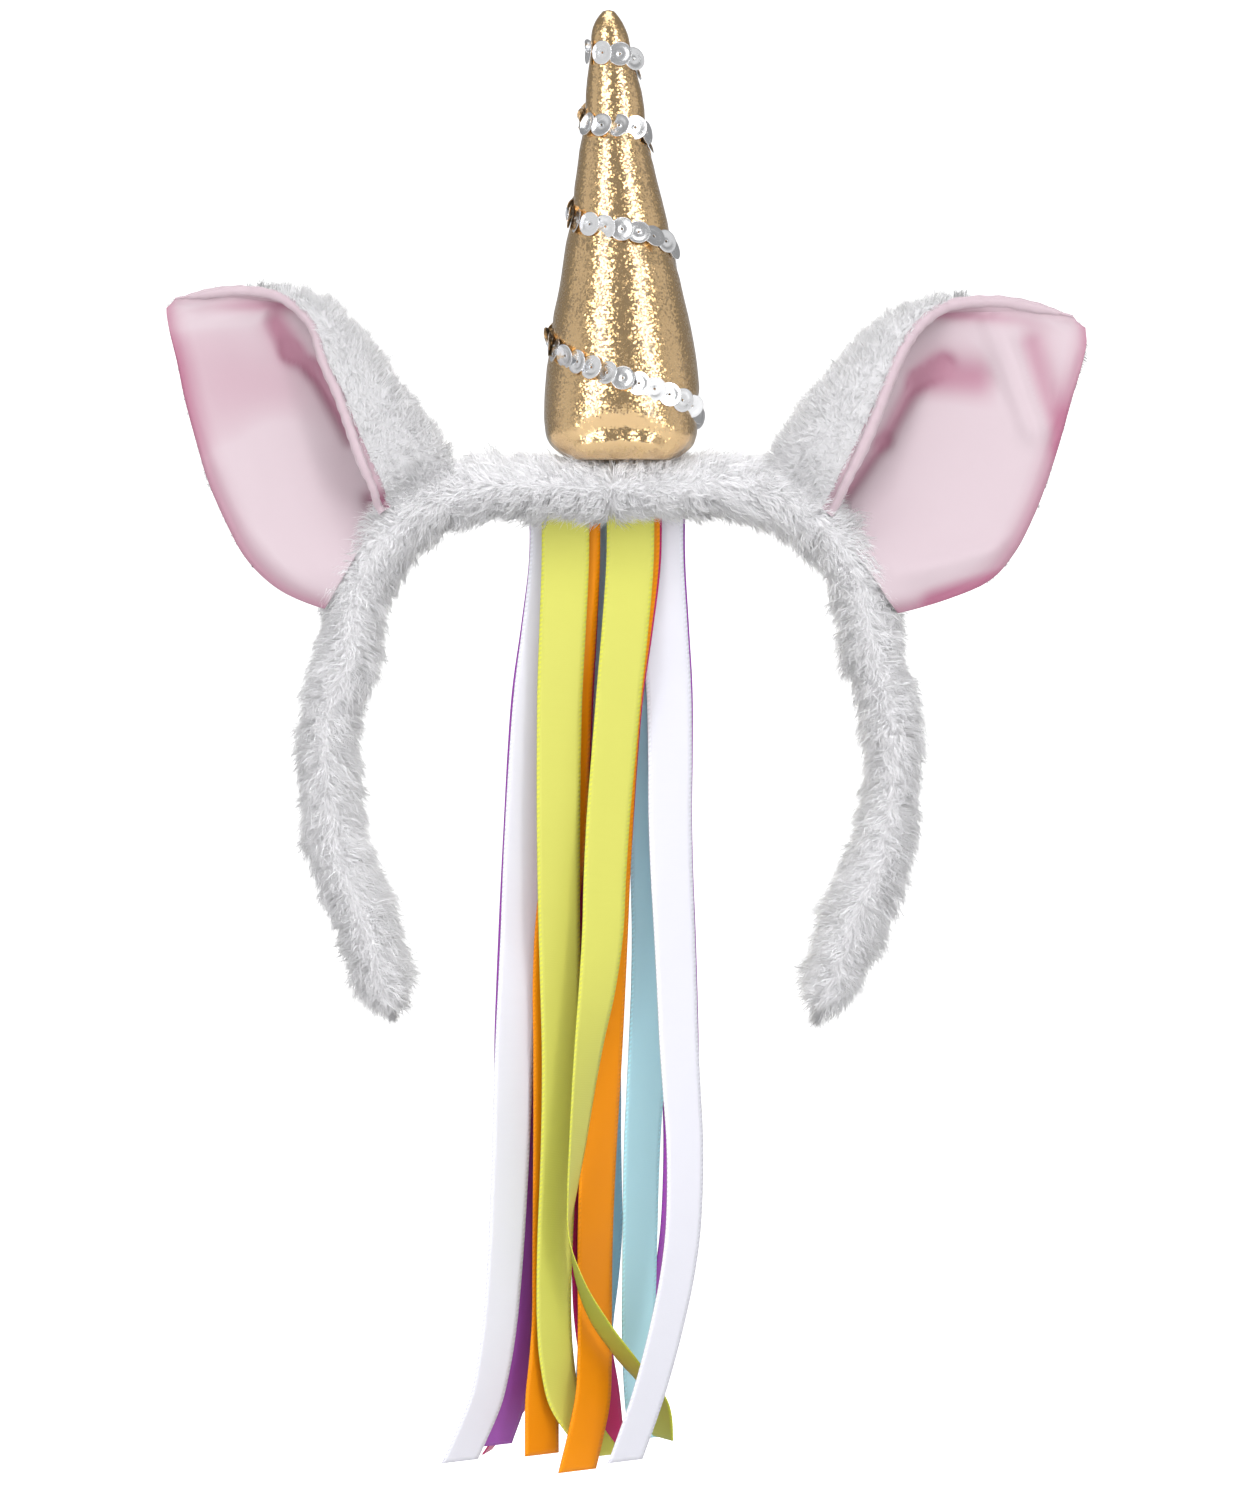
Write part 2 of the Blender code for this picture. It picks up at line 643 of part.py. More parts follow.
def strand_levels(name, at):
    """The level of a strand at some heights, less in front and more behind."""
    top_level, low_level = RIBBONS[name][:2]
    sink = np.clip((LEVEL_CHANGE[0] - at) / (LEVEL_CHANGE[0] - LEVEL_CHANGE[1]), 0.0, 1.0)
    return top_level + (low_level - top_level) * sink


def depth_between(front, behind, at):
    """How much further back one strand has to hang than another at each height to pass behind it."""
    reach = np.linspace(-0.5, 0.5, 9) * RIBBON_WIDTH
    spots = []
    for name in (front, behind):
        read = read_strand(name, at)
        turn = np.radians(read[:, 1:2])
        slant = np.abs(np.gradient(read[:, :1], at, axis=0))
        thick = RIBBON_THICKNESS / np.maximum(np.abs(np.cos(turn)), LEAST_FACING) + RIBBON_SLANT_ROOM * slant
        spots.append((read[:, :1] + reach * np.cos(turn), reach * np.sin(turn), thick))
    (front_x, front_y, front_thick), (behind_x, behind_y, behind_thick) = spots
    room = np.maximum(front_thick, behind_thick) + RIBBON_ROOM
    ahead = front_y[:, :, None] - behind_y[:, None, :] + room[:, :, None]
    near = np.abs(front_x[:, :, None] - behind_x[:, None, :]) < RIBBON_SIDE_ROOM
    return np.where(near, ahead, NO_NEED).max(axis=(1, 2))


def ribbon_depths(at):
    """How far back each strand hangs at each height, settled in small steps until none touch."""
    front_line = smooth_curve(-np.array(RIBBON_FRONT_HEIGHTS), RIBBON_FRONT, -at)[:, 0]
    levels = {name: strand_levels(name, at) for name in RIBBONS}
    depths = {name: front_line + RIBBON_PITCH * levels[name] for name in RIBBONS}
    needs = {}
    for one in RIBBONS:
        for other in RIBBONS:
            need = depth_between(one, other, at)
            ahead = (levels[one] < levels[other]) & (need > NO_NEED)
            if one != other and ahead.any():
                needs[one, other] = np.where(ahead, need, NO_NEED)
    for _ in range(SETTLING_STEPS):
        for name in RIBBONS:
            bend = depths[name][:-2] - 2 * depths[name][1:-1] + depths[name][2:]
            depths[name][1:-1] += BEND_EASING * bend
            straight = 2 * depths[name][-2] - depths[name][-3]
            depths[name][-1] += BEND_EASING * (straight - depths[name][-1])
            depths[name] = np.maximum(depths[name], front_line)
            depths[name][0] = front_line[0] + RIBBON_PITCH * levels[name][0]
        for (one, other), need in needs.items():
            lack = np.maximum(need - (depths[other] - depths[one]), 0.0)
            lack[0] = 0.0
            depths[one] -= FRONT_EASING * lack
            depths[other] += BACK_EASING * lack
    for station in range(1, len(at)):
        order = sorted(RIBBONS, key=lambda key: levels[key][station])
        for place, other in enumerate(order):
            for one in order[:place]:
                if (one, other) in needs:
                    least = depths[one][station] + needs[one, other][station]
                    depths[other][station] = max(depths[other][station], least)
    return depths


def build_ribbon(name, at, depths):
    """One strand: a thin flat strip along its curve, turned as it hangs."""
    end_z = RIBBONS[name][4]
    kept = at > end_z + RIBBON_SHORTEST
    heights = np.append(at[kept], end_z)
    read = read_strand(name, heights)
    back = np.append(depths[kept], np.interp(-end_z, -at, depths))
    centres = np.column_stack([read[:, 0], back, heights])
    headings = unit(np.gradient(centres, axis=0))
    turns = np.radians(read[:, 1])
    across = np.column_stack([np.cos(turns), np.sin(turns), np.zeros(len(turns))])
    across = unit(across - headings * np.sum(across * headings, axis=1)[:, None])
    facing = np.cross(headings, across)
    half_width = across * RIBBON_WIDTH / 2
    half_sheet = facing * RIBBON_THICKNESS / 2
    middle = np.stack([centres - half_width, centres + half_width], axis=1)
    sheet = half_sheet[:, None, :]
    return skin_shell("ribbon_" + name, middle - sheet, middle + sheet, name.split("_")[0])


def main():
    clear_scene()
    room = build_hoop()
    build_horn()
    build_sequin_string()
    for side in EARS:
        build_ear(side, room)
    lowest = min(row[4] for row in RIBBONS.values())
    shares = np.linspace(0.0, 1.0, RIBBON_STATIONS)
    closer_below = shares + RIBBON_CROWDING * shares * (1.0 - shares)
    heights = RIBBON_HEIGHTS[0] + (lowest - RIBBON_HEIGHTS[0]) * closer_below
    depths = ribbon_depths(heights)
    for name in RIBBONS:
        build_ribbon(name, heights, depths[name])


main()
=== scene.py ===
import math

import bpy
import numpy as np
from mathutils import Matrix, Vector
from mathutils.kdtree import KDTree


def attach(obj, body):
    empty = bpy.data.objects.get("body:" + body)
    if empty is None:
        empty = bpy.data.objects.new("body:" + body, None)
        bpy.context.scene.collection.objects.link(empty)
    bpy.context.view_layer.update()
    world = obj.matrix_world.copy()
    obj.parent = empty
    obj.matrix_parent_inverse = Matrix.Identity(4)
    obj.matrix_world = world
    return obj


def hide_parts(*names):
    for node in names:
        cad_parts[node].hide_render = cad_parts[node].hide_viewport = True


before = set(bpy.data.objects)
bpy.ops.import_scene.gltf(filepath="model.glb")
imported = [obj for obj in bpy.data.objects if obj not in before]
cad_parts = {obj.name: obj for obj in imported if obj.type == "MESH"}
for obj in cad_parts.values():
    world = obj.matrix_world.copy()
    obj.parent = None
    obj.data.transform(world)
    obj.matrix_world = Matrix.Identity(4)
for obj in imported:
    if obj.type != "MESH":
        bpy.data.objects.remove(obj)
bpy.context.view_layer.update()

# Band: a bent flat core in a sleeve of white plush, sewn closed at the two round ends. The sleeve's
# backing cloth is modelled inside the pile, and the pile is strands in soft clumps, in three meshes
# that meet at the bends.

MM = 0.001
FUR_SEED = 11
CROWN_Z = 8.6
CROWN_HALF_HEIGHT = 8.6
HOOP_HALF_DEPTH = 11.0
BEND_RADIUS = 37.0
BEND_CENTRE_LEFT = -28.0
BEND_CENTRE_RIGHT = 27.5
BEND_CENTRE_Z = CROWN_Z - BEND_RADIUS
PILE = 4.3
# The strands lean, so they are longer than the pile is deep.
STRAND_LENGTH = PILE * 1.4
END_REACH = 5.0
END_RINGS = 10
HOOP_RINGS = 302
BACKING_SIDES = 40
# Painted shade: the backing skin is darker than the strands, where it lies under the pile.
BACKING_SHADED_TONE = 0.74

# Centre x, centre z and half height of each leg, from its tip up to the bend, in millimetres.
LEFT_LEG = (
    (-56.6, -118.3, 6.3),
    (-59.6, -107.3, 7.9),
    (-63.2, -97.0, 8.3),
    (-67.0, -87.0, 8.4),
    (-69.6, -77.0, 8.2),
    (-70.9, -67.0, 7.8),
    (-71.3, -57.0, 7.6),
    (-70.2, -47.0, 8.1),
    (-67.2, -37.5, 8.8),
)
RIGHT_LEG = (
    (53.8, -118.3, 6.3),
    (57.9, -107.3, 8.3),
    (61.6, -97.0, 8.8),
    (65.7, -87.0, 8.8),
    (68.4, -77.0, 8.2),
    (69.9, -67.0, 7.7),
    (70.2, -57.0, 7.6),
    (69.0, -47.0, 7.9),
    (66.6, -37.5, 8.2),
)


def smooth_curve(keys, rows, at):
    """A smooth curve through rows at rising keys, read at each value of at."""
    keys = np.asarray(keys, float)
    rows = np.asarray(rows, float).reshape(len(keys), -1)
    at = np.asarray(at, float)
    slopes = np.gradient(rows, keys, axis=0)
    first = np.clip(np.searchsorted(keys, at) - 1, 0, len(keys) - 2)
    span = (keys[first + 1] - keys[first])[:, None]
    t = (at - keys[first])[:, None] / span
    start = (1 + 2 * t) * (1 - t) ** 2 * rows[first] + t * (1 - t) ** 2 * span * slopes[first]
    end = t * t * (3 - 2 * t) * rows[first + 1] + t * t * (t - 1) * span * slopes[first + 1]
    return start + end


def unit(vectors):
    """The vectors at length one."""
    return vectors / np.maximum(np.linalg.norm(vectors, axis=-1, keepdims=True), 1e-9)


def soft_noise(points, period, seed):
    """Smooth noise from -1 to 1 at points in millimetres, with hills about one period apart."""
    lattice = np.random.default_rng(seed).uniform(-1.0, 1.0, (32, 32, 32))
    place = np.asarray(points, float) / period + 1000.0
    cell = np.floor(place).astype(int)
    inside = place - cell
    inside = inside * inside * (3.0 - 2.0 * inside)
    value = np.zeros(place.shape[:-1])
    for corner in range(8):
        step = np.array([corner & 1, corner >> 1 & 1, corner >> 2 & 1])
        weight = np.prod(np.where(step == 1, inside, 1.0 - inside), axis=-1)
        at = (cell + step) % 32
        value += weight * lattice[at[..., 0], at[..., 1], at[..., 2]]
    return value


def soft_drift(points, period, seed):
    """A smooth field of directions, each part from -1 to 1."""
    return np.stack([soft_noise(points, period, seed + part) for part in range(3)], axis=-1)


def add_mesh(name, corners, faces, material, normals=None):
    """A smooth-shaded object from corners in millimetres and an array of faces of equal size."""
    corners = np.asarray(corners, np.float32) * MM
    faces = np.asarray(faces, np.int32)
    mesh = bpy.data.meshes.new(name)
    mesh.vertices.add(len(corners))
    mesh.vertices.foreach_set("co", corners.ravel())
    mesh.loops.add(faces.size)
    mesh.loops.foreach_set("vertex_index", faces.ravel())
    mesh.polygons.add(len(faces))
    mesh.polygons.foreach_set("loop_start", np.arange(0, faces.size, faces.shape[1], dtype=np.int32))
    mesh.update(calc_edges=True)
    mesh.shade_smooth()
    if normals is not None:
        mesh.normals_split_custom_set_from_vertices(np.asarray(normals, np.float32))
    mesh.materials.append(material)
    made = bpy.data.objects.new(name, mesh)
    bpy.context.scene.collection.objects.link(made)
    return made


def store_value(piece, name, values):
    """Keep one number at each corner of a piece for its material."""
    layer = piece.data.attributes.new(name, "FLOAT", "POINT")
    layer.data.foreach_set("value", np.asarray(values, np.float32).ravel())


def grid_faces(rows, across, closed=False, first=0):
    """The quads of a grid of corners, joined round across if it is closed."""
    row = np.arange(rows - 1)[:, None] * across
    step = np.arange(across if closed else across - 1)[None, :]
    after = (step + 1) % across
    quads = np.stack([row + step, row + after, row + across + after, row + across + step], axis=-1)
    return quads.reshape(-1, 4) + first


def new_material(name, colour, roughness):
    """A material with its tree and main shader, its colour and roughness set."""
    made = bpy.data.materials.new(name)
    made.use_nodes = True
    tree = made.node_tree
    shader = tree.nodes["Principled BSDF"]
    shader.inputs["Base Color"].default_value = (*colour, 1.0)
    shader.inputs["Roughness"].default_value = roughness
    return made, tree, shader


def add_node(tree, kind, **values):
    """A node of that kind with its own settings."""
    node = tree.nodes.new(kind)
    for key, value in values.items():
        setattr(node, key, value)
    return node


def hoop_line():
    """Rows of centre x, centre z and half height, from the left tip over the crown to the right tip."""
    rows = list(LEFT_LEG)
    for degrees in (180, 160, 140, 120, 100):
        share = (180 - degrees) / 90
        turn = math.radians(degrees)
        half = LEFT_LEG[-1][2] + (CROWN_HALF_HEIGHT - LEFT_LEG[-1][2]) * share
        x = BEND_CENTRE_LEFT + BEND_RADIUS * math.cos(turn)
        rows.append((x, BEND_CENTRE_Z + BEND_RADIUS * math.sin(turn), half))
    rows += [(x, CROWN_Z, CROWN_HALF_HEIGHT) for x in (-16.0, 0.0, 16.0)]
    for degrees in (80, 60, 40, 20, 0):
        share = (90 - degrees) / 90
        turn = math.radians(degrees)
        half = CROWN_HALF_HEIGHT + (RIGHT_LEG[-1][2] - CROWN_HALF_HEIGHT) * share
        x = BEND_CENTRE_RIGHT + BEND_RADIUS * math.cos(turn)
        rows.append((x, BEND_CENTRE_Z + BEND_RADIUS * math.sin(turn), half))
    return np.array(rows + list(reversed(RIGHT_LEG)))


hoop_rows = hoop_line()
hoop_keys = np.linalg.norm(np.diff(hoop_rows[:, :2], axis=0), axis=1)
hoop_keys = np.concatenate([[0.0], np.cumsum(hoop_keys)])
hoop_length = hoop_keys[-1]


def hoop_points(along, angle, inset):
    """Points and outward directions of the sleeve, along the hoop and round it, set in by the pile."""
    read = smooth_curve(hoop_keys, hoop_rows, np.clip(along, 0.0, hoop_length))
    ahead = smooth_curve(hoop_keys, hoop_rows, np.clip(along + 1.0, 1.0, hoop_length))
    behind = smooth_curve(hoop_keys, hoop_rows, np.clip(along - 1.0, 0.0, hoop_length - 1.0))
    heading = np.zeros((len(along), 3))
    heading[:, (0, 2)] = unit(ahead[:, :2] - behind[:, :2])
    past = np.where(along < 0.0, along, np.maximum(along - hoop_length, 0.0))
    cap = read[:, 2] - inset
    bulge = np.clip(past / np.maximum(cap, 0.1), -0.999, 0.999)
    round_off = np.sqrt(1.0 - bulge**2)
    from_tip = np.minimum(along, hoop_length - along)
    flatten = 0.72 + 0.28 * np.clip(from_tip / 9.0, 0.0, 1.0)
    height = (read[:, 2] - inset) * round_off
    depth = (HOOP_HALF_DEPTH * flatten - inset) * round_off
    centre = np.column_stack([read[:, 0], np.zeros(len(along)), read[:, 1]])
    centre += heading * (bulge * cap)[:, None]
    out = np.column_stack([-heading[:, 2], np.zeros(len(along)), heading[:, 0]])
    front = np.array([0.0, -1.0, 0.0])
    point = centre + out * (height * np.cos(angle))[:, None] + front * (depth * np.sin(angle))[:, None]
    normal = out * (depth * np.cos(angle))[:, None] + front * (height * np.sin(angle))[:, None]
    normal = unit(normal) * round_off[:, None] + heading * bulge[:, None]
    return point, unit(normal), heading


plush, tree, shader = new_material("white plush pile", (0.96, 0.955, 0.975), 0.9)
geometry = add_node(tree, "ShaderNodeNewGeometry")
flip = add_node(tree, "ShaderNodeMath", operation="MULTIPLY_ADD")
flip.inputs[1].default_value = -2.0
flip.inputs[2].default_value = 1.0
tree.links.new(geometry.outputs["Backfacing"], flip.inputs[0])
facing = add_node(tree, "ShaderNodeVectorMath", operation="SCALE")
tree.links.new(geometry.outputs["Normal"], facing.inputs[0])
tree.links.new(flip.outputs[0], facing.inputs["Scale"])
tree.links.new(facing.outputs[0], shader.inputs["Normal"])
shader.inputs["Specular IOR Level"].default_value = 0.2
shader.inputs["Sheen Weight"].default_value = 0.6
shader.inputs["Sheen Roughness"].default_value = 0.5
# Stored per corner: a random tone per strand, and painted shade on roots, ear piles and backing skins.
tone_and_shade = add_node(tree, "ShaderNodeAttribute", attribute_name="tone_and_shade")
toned = add_node(tree, "ShaderNodeVectorMath", operation="SCALE")
toned.inputs[0].default_value = (0.985, 0.978, 1.0)
tree.links.new(tone_and_shade.outputs["Fac"], toned.inputs["Scale"])
tree.links.new(toned.outputs[0], shader.inputs["Base Color"])
# Much of the light passes between real hairs, so a strand shades what lies behind it only a little.
light_path = add_node(tree, "ShaderNodeLightPath")
shade_share = add_node(tree, "ShaderNodeMath", operation="MULTIPLY")
shade_share.inputs[1].default_value = 0.86
tree.links.new(light_path.outputs["Is Shadow Ray"], shade_share.inputs[0])
let_through = add_node(tree, "ShaderNodeBsdfTransparent")
strand_mix = add_node(tree, "ShaderNodeMixShader")
tree.links.new(shade_share.outputs[0], strand_mix.inputs[0])
tree.links.new(shader.outputs[0], strand_mix.inputs[1])
tree.links.new(let_through.outputs[0], strand_mix.inputs[2])
tree.links.new(strand_mix.outputs[0], tree.nodes["Material Output"].inputs["Surface"])


def grow_pile(name, roots, normals, comb, length, material, seed, shaded_brightness=1.0, clumps=0.42, width=0.19):
    """Strands that stand on roots, lean along comb, wave with their clump and taper to a point."""
    rng = np.random.default_rng(seed)
    count = len(roots)
    drift = soft_drift(roots, 9.0, seed + 1) * 0.25 + soft_drift(roots, 3.2, seed + 5) * 0.35
    drift -= normals * np.sum(drift * normals, axis=1)[:, None]
    spread = rng.normal(0.0, 0.33, (count, 3))
    lean = unit(normals + drift + comb + spread)
    tufted = 1.0 + 0.25 * soft_noise(roots, 6.0, seed + 9) + 0.2 * soft_noise(roots, 2.4, seed + 10)
    reach = length * rng.uniform(0.65, 1.1, count) * tufted
    tips = roots + lean * reach[:, None]
    leaders = rng.choice(count, max(count // 26, 1), replace=False)
    tree_of_leaders = KDTree(len(leaders))
    for index, leader in enumerate(leaders):
        tree_of_leaders.insert(Vector(roots[leader]), index)
    tree_of_leaders.balance()
    nearest = np.array([tree_of_leaders.find(Vector(root))[1] for root in roots])
    tuft_lean = rng.normal(0.0, 0.3, (len(leaders), 3)) * PILE
    leader_tips = tips[leaders[nearest]] + tuft_lean[nearest]
    reach = reach * rng.uniform(0.78, 1.18, len(leaders))[nearest]
    pull = clumps * rng.uniform(0.5, 1.2, count)[:, None]
    gathered = tips + (leader_tips - tips) * pull
    tips = roots + unit(gathered - roots) * reach[:, None]
    bend = roots + normals * (reach * 0.38)[:, None] + (tips - roots) * 0.28
    side = unit(np.cross(tips - roots, rng.normal(0.0, 1.0, (count, 3))))
    half = (width * rng.uniform(0.7, 1.2, count) / 2)[:, None]
    corners = np.stack(
        [roots - side * half, roots + side * half, bend + side * half * 0.8, bend - side * half * 0.8, tips],
        axis=1,
    )
    start = np.arange(count)[:, None] * 5
    faces = np.concatenate([start + (0, 1, 2), start + (0, 2, 3), start + (3, 2, 4)])
    soft = unit(normals * 0.6 + lean * 0.5 + rng.normal(0.0, 0.25, (count, 3)))
    tip_soft = unit(soft + lean * 0.5)
    shading = np.stack([soft, soft, soft, soft, tip_soft], axis=1)
    pile = add_mesh(name, corners.reshape(-1, 3), faces, material, shading.reshape(-1, 3))
    # Painted shade: each strand darkens towards its root, deep in the pile; the rest is random tone.
    painted_root_shade = np.array([0.93, 0.93, 0.97, 0.97, 1.0])[None, :]
    strand_tone_and_shade = painted_root_shade * rng.uniform(0.96, 1.0, (count, 1)) * shaded_brightness
    store_value(pile, "tone_and_shade", strand_tone_and_shade)
    return pile


before_tip = np.linspace(-END_REACH, 0.0, END_RINGS)[:-1]
past_tip = np.linspace(hoop_length, hoop_length + END_REACH, END_RINGS)[1:]
along = np.concatenate([before_tip, np.linspace(0.0, hoop_length, HOOP_RINGS), past_tip])
turns = np.tile(np.linspace(0.0, 2 * math.pi, BACKING_SIDES, endpoint=False), len(along))
skin, _, _ = hoop_points(np.repeat(along, BACKING_SIDES), turns, PILE)
backing = add_mesh("band_backing", skin, grid_faces(len(along), BACKING_SIDES, closed=True), plush)
store_value(backing, "tone_and_shade", np.full(len(skin), BACKING_SHADED_TONE))
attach(backing, "root")
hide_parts("band")

# The pile is drawn past the round ends, and strands that would stand beyond them are left out.
PILE_DRAWN_PAST = 7.5
PILE_KEPT_PAST = 3.5
left_bend, right_bend = 0.335 * hoop_length, 0.665 * hoop_length
# Name, where along the hoop it begins and ends, and how many strands.
PILE_PARTS = (
    ("band_pile_left", -PILE_DRAWN_PAST, left_bend, 40000),
    ("band_pile_crown", left_bend, right_bend, 44000),
    ("band_pile_right", right_bend, hoop_length + PILE_DRAWN_PAST, 40000),
)
for index, (name, begin, end, strands) in enumerate(PILE_PARTS):
    rng = np.random.default_rng(FUR_SEED + index)
    places = rng.uniform(begin, end, strands)
    angles = rng.uniform(0.0, 2 * math.pi, strands)
    kept = (places > -PILE_KEPT_PAST) & (places < hoop_length + PILE_KEPT_PAST)
    places, angles = places[kept], angles[kept]
    roots, normals, heading = hoop_points(places, angles, PILE)
    towards_tips = np.where(places < hoop_length / 2, -1.0, 1.0)[:, None]
    comb = heading * towards_tips * 0.6
    pile = grow_pile(name, roots, normals, comb, STRAND_LENGTH, plush, 40 + index * 20)
    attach(pile, "root")
    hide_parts("band")

# Ears: each is a white plush outside and a pink satin inside, sewn together round the edge and turned.
# The edge beside the horn is curled forward and its seam is on the front, and the foot is sewn to the
# band. These are the plush outsides: a backing skin and the pile on its back.

# Base to tip: the outer edge, the sewn seam of the curled edge and the fold beside the horn, each as x
# and z seen from the front.
LEFT_EAR = (
    (-73.5, -21.5, -58.0, 3.2, -39.0, 15.6),
    (-83.2, -17.2, -59.2, 7.5, -41.5, 21.0),
    (-91.2, -9.7, -62.2, 14.5, -46.0, 27.0),
    (-96.7, 0.2, -64.8, 22.0, -52.5, 34.5),
    (-101.0, 10.2, -67.8, 30.5, -58.8, 43.0),
    (-104.0, 20.2, -71.8, 39.6, -64.6, 50.6),
    (-106.7, 30.2, -75.0, 48.0, -71.4, 55.4),
    (-108.7, 39.7, -83.0, 54.4, -80.8, 57.6),
    (-110.4, 46.5, -93.0, 56.6, -92.2, 58.0),
    (-111.2, 50.7, -103.0, 56.0, -102.6, 56.8),
    (-111.4, 53.2, -109.4, 55.2, -109.2, 55.6),
)
RIGHT_EAR = (
    (73.2, -22.7, 55.0, 2.8, 38.0, 16.4),
    (84.5, -19.4, 58.2, 9.4, 43.0, 24.0),
    (94.2, -15.0, 62.2, 17.7, 49.6, 33.0),
    (100.5, -8.0, 65.8, 26.5, 55.4, 39.4),
    (105.2, 1.0, 68.8, 34.5, 61.2, 45.2),
    (108.8, 10.2, 72.2, 42.0, 66.4, 50.0),
    (112.0, 20.2, 77.0, 48.2, 72.6, 53.2),
    (114.8, 30.2, 85.0, 52.8, 82.4, 55.4),
    (117.2, 38.2, 97.0, 53.7, 95.8, 55.4),
    (118.5, 44.0, 108.0, 52.2, 107.6, 53.2),
    (118.3, 48.2, 115.4, 50.6, 115.2, 51.2),
)
# Base to tip, how far back the seam, the fold, the pocket beside the seam, the floor and the outer edge
# lie, and how much of the edge is curled over.
EAR_DEPTHS = (
    (-7.8, -3.0, 1.6, -6.2, -5.2, 1.0),
    (-12.0, -5.0, 2.4, -4.8, -5.5, 1.0),
    (-13.6, -6.0, 3.2, -2.4, -4.6, 1.0),
    (-13.2, -6.0, 3.4, -0.6, -4.0, 1.0),
    (-12.2, -5.2, 3.6, 0.4, -3.5, 1.0),
    (-10.6, -4.2, 3.5, 1.0, -3.0, 1.0),
    (-8.0, -3.0, 3.0, 1.2, -2.5, 0.9),
    (-4.6, -1.5, 2.0, 1.0, -2.0, 0.55),
    (-1.6, -0.3, 0.9, 0.8, -1.4, 0.1),
    (-0.8, -0.1, 0.4, 0.5, -0.8, 0.0),
    (-0.3, 0.0, 0.1, 0.2, -0.3, 0.0),
)
EAR_FOOT = 6.0
EAR_ROWS = 140
EAR_STEPS = 104
EAR_SEED = 70
EAR_PILE = 3.9
EAR_STRANDS = 38000
# Painted shade: the ear piles are darker than the band's pile.
EAR_PILE_SHADED_BRIGHTNESS = 0.8
# Painted shade: the ear backing is darker still, under the ear pile.
EAR_BACKING_SHADED_TONE = 0.68
# The fold beside the horn is set in so that the pile ends where the ear does.
FOLD_INSET = 3.4
PLUSH_BACKING = 0.6
# How far each of the two cloths lies from the middle surface between them.
SEAM_GAP = 0.15


def ear_surface(table, bend_centre_x):
    """The middle surface of an ear as a grid, base to tip and from the sewn seam to the outer edge."""
    lines = []
    for front, depth in zip(table, EAR_DEPTHS):
        outer, seam, fold = (np.array(front[at : at + 2]) for at in (0, 2, 4))
        fold = fold + unit(seam - fold) * min(FOLD_INSET, 0.3 * np.linalg.norm(seam - fold))
        seam_y, fold_y, pocket_y, floor_y, outer_y, curl = depth
        curled = np.array([seam, seam + 0.78 * (fold - seam), fold, fold + 0.22 * (seam - fold)])
        flat = np.array([fold + share * (outer - fold) for share in (0.0, 0.05, 0.1, 0.16)])
        edge = flat + curl * (curled - flat)
        backs = (seam_y, seam_y + 0.2 * (fold_y - seam_y), fold_y, fold_y + 0.75 * (pocket_y - fold_y))
        line = [(*spot, back) for spot, back in zip(edge, backs)]
        line.append((*(seam + (0.25 - 0.15 * curl) * (outer - seam)), pocket_y))
        line.append((*(seam + 0.58 * (outer - seam)), floor_y))
        line.append((*outer, outer_y))
        lines.append(line)
    lines = np.array(lines)[:, :, (0, 2, 1)]
    foot = lines[0].copy()
    arm = foot[:, (0, 2)] - (bend_centre_x, BEND_CENTRE_Z)
    foot[:, (0, 2)] -= unit(arm) * EAR_FOOT
    lines = np.concatenate([[foot], lines])
    count, controls = lines.shape[:2]
    upward = np.linspace(0, count - 1, EAR_ROWS)
    along = smooth_curve(range(count), lines.reshape(count, -1), upward).reshape(EAR_ROWS, controls, 3)
    across = np.linspace(0, controls - 1, EAR_STEPS)
    return np.array([smooth_curve(range(controls), line, across) for line in along])


def ear_inward(surface, sign):
    """The direction from the plush towards the satin at each point of an ear's middle surface."""
    upward, crosswise = np.gradient(surface, axis=(0, 1))
    inward = unit(np.cross(crosswise, upward)) * sign
    to_tip = np.linspace(1.0, 0.0, EAR_ROWS)[:, None, None]
    level = np.clip(1.3 - to_tip * 4.0, 0.0, 1.0)
    return unit(inward * (1.0 - level) + np.array([0.0, -1.0, 0.0]) * level)


def add_shell(name, near, far, material):
    """A closed wall between two grids of points that lie one behind the other."""
    rows, across = near.shape[:2]
    size = rows * across
    sheet = grid_faces(rows, across)
    rim = [step for step in range(across)]
    rim += [row * across + across - 1 for row in range(1, rows)]
    rim += [(rows - 1) * across + step for step in range(across - 2, -1, -1)]
    rim += [row * across for row in range(rows - 2, 0, -1)]
    here = np.array(rim)
    after = np.roll(here, -1)
    wall = np.stack([here, after, size + after, size + here], axis=-1)
    faces = np.concatenate([sheet, sheet[:, ::-1] + size, wall[:, ::-1]])
    corners = np.concatenate([near.reshape(-1, 3), far.reshape(-1, 3)])
    shifted = corners - corners.mean(axis=0)
    volume = 0.0
    for one, two, three in ((0, 1, 2), (0, 2, 3)):
        normal = np.cross(shifted[faces[:, two]], shifted[faces[:, three]])
        volume += np.sum(shifted[faces[:, one]] * normal)
    if volume < 0.0:
        faces = faces[:, ::-1]
    return add_mesh(name, corners, faces, material)


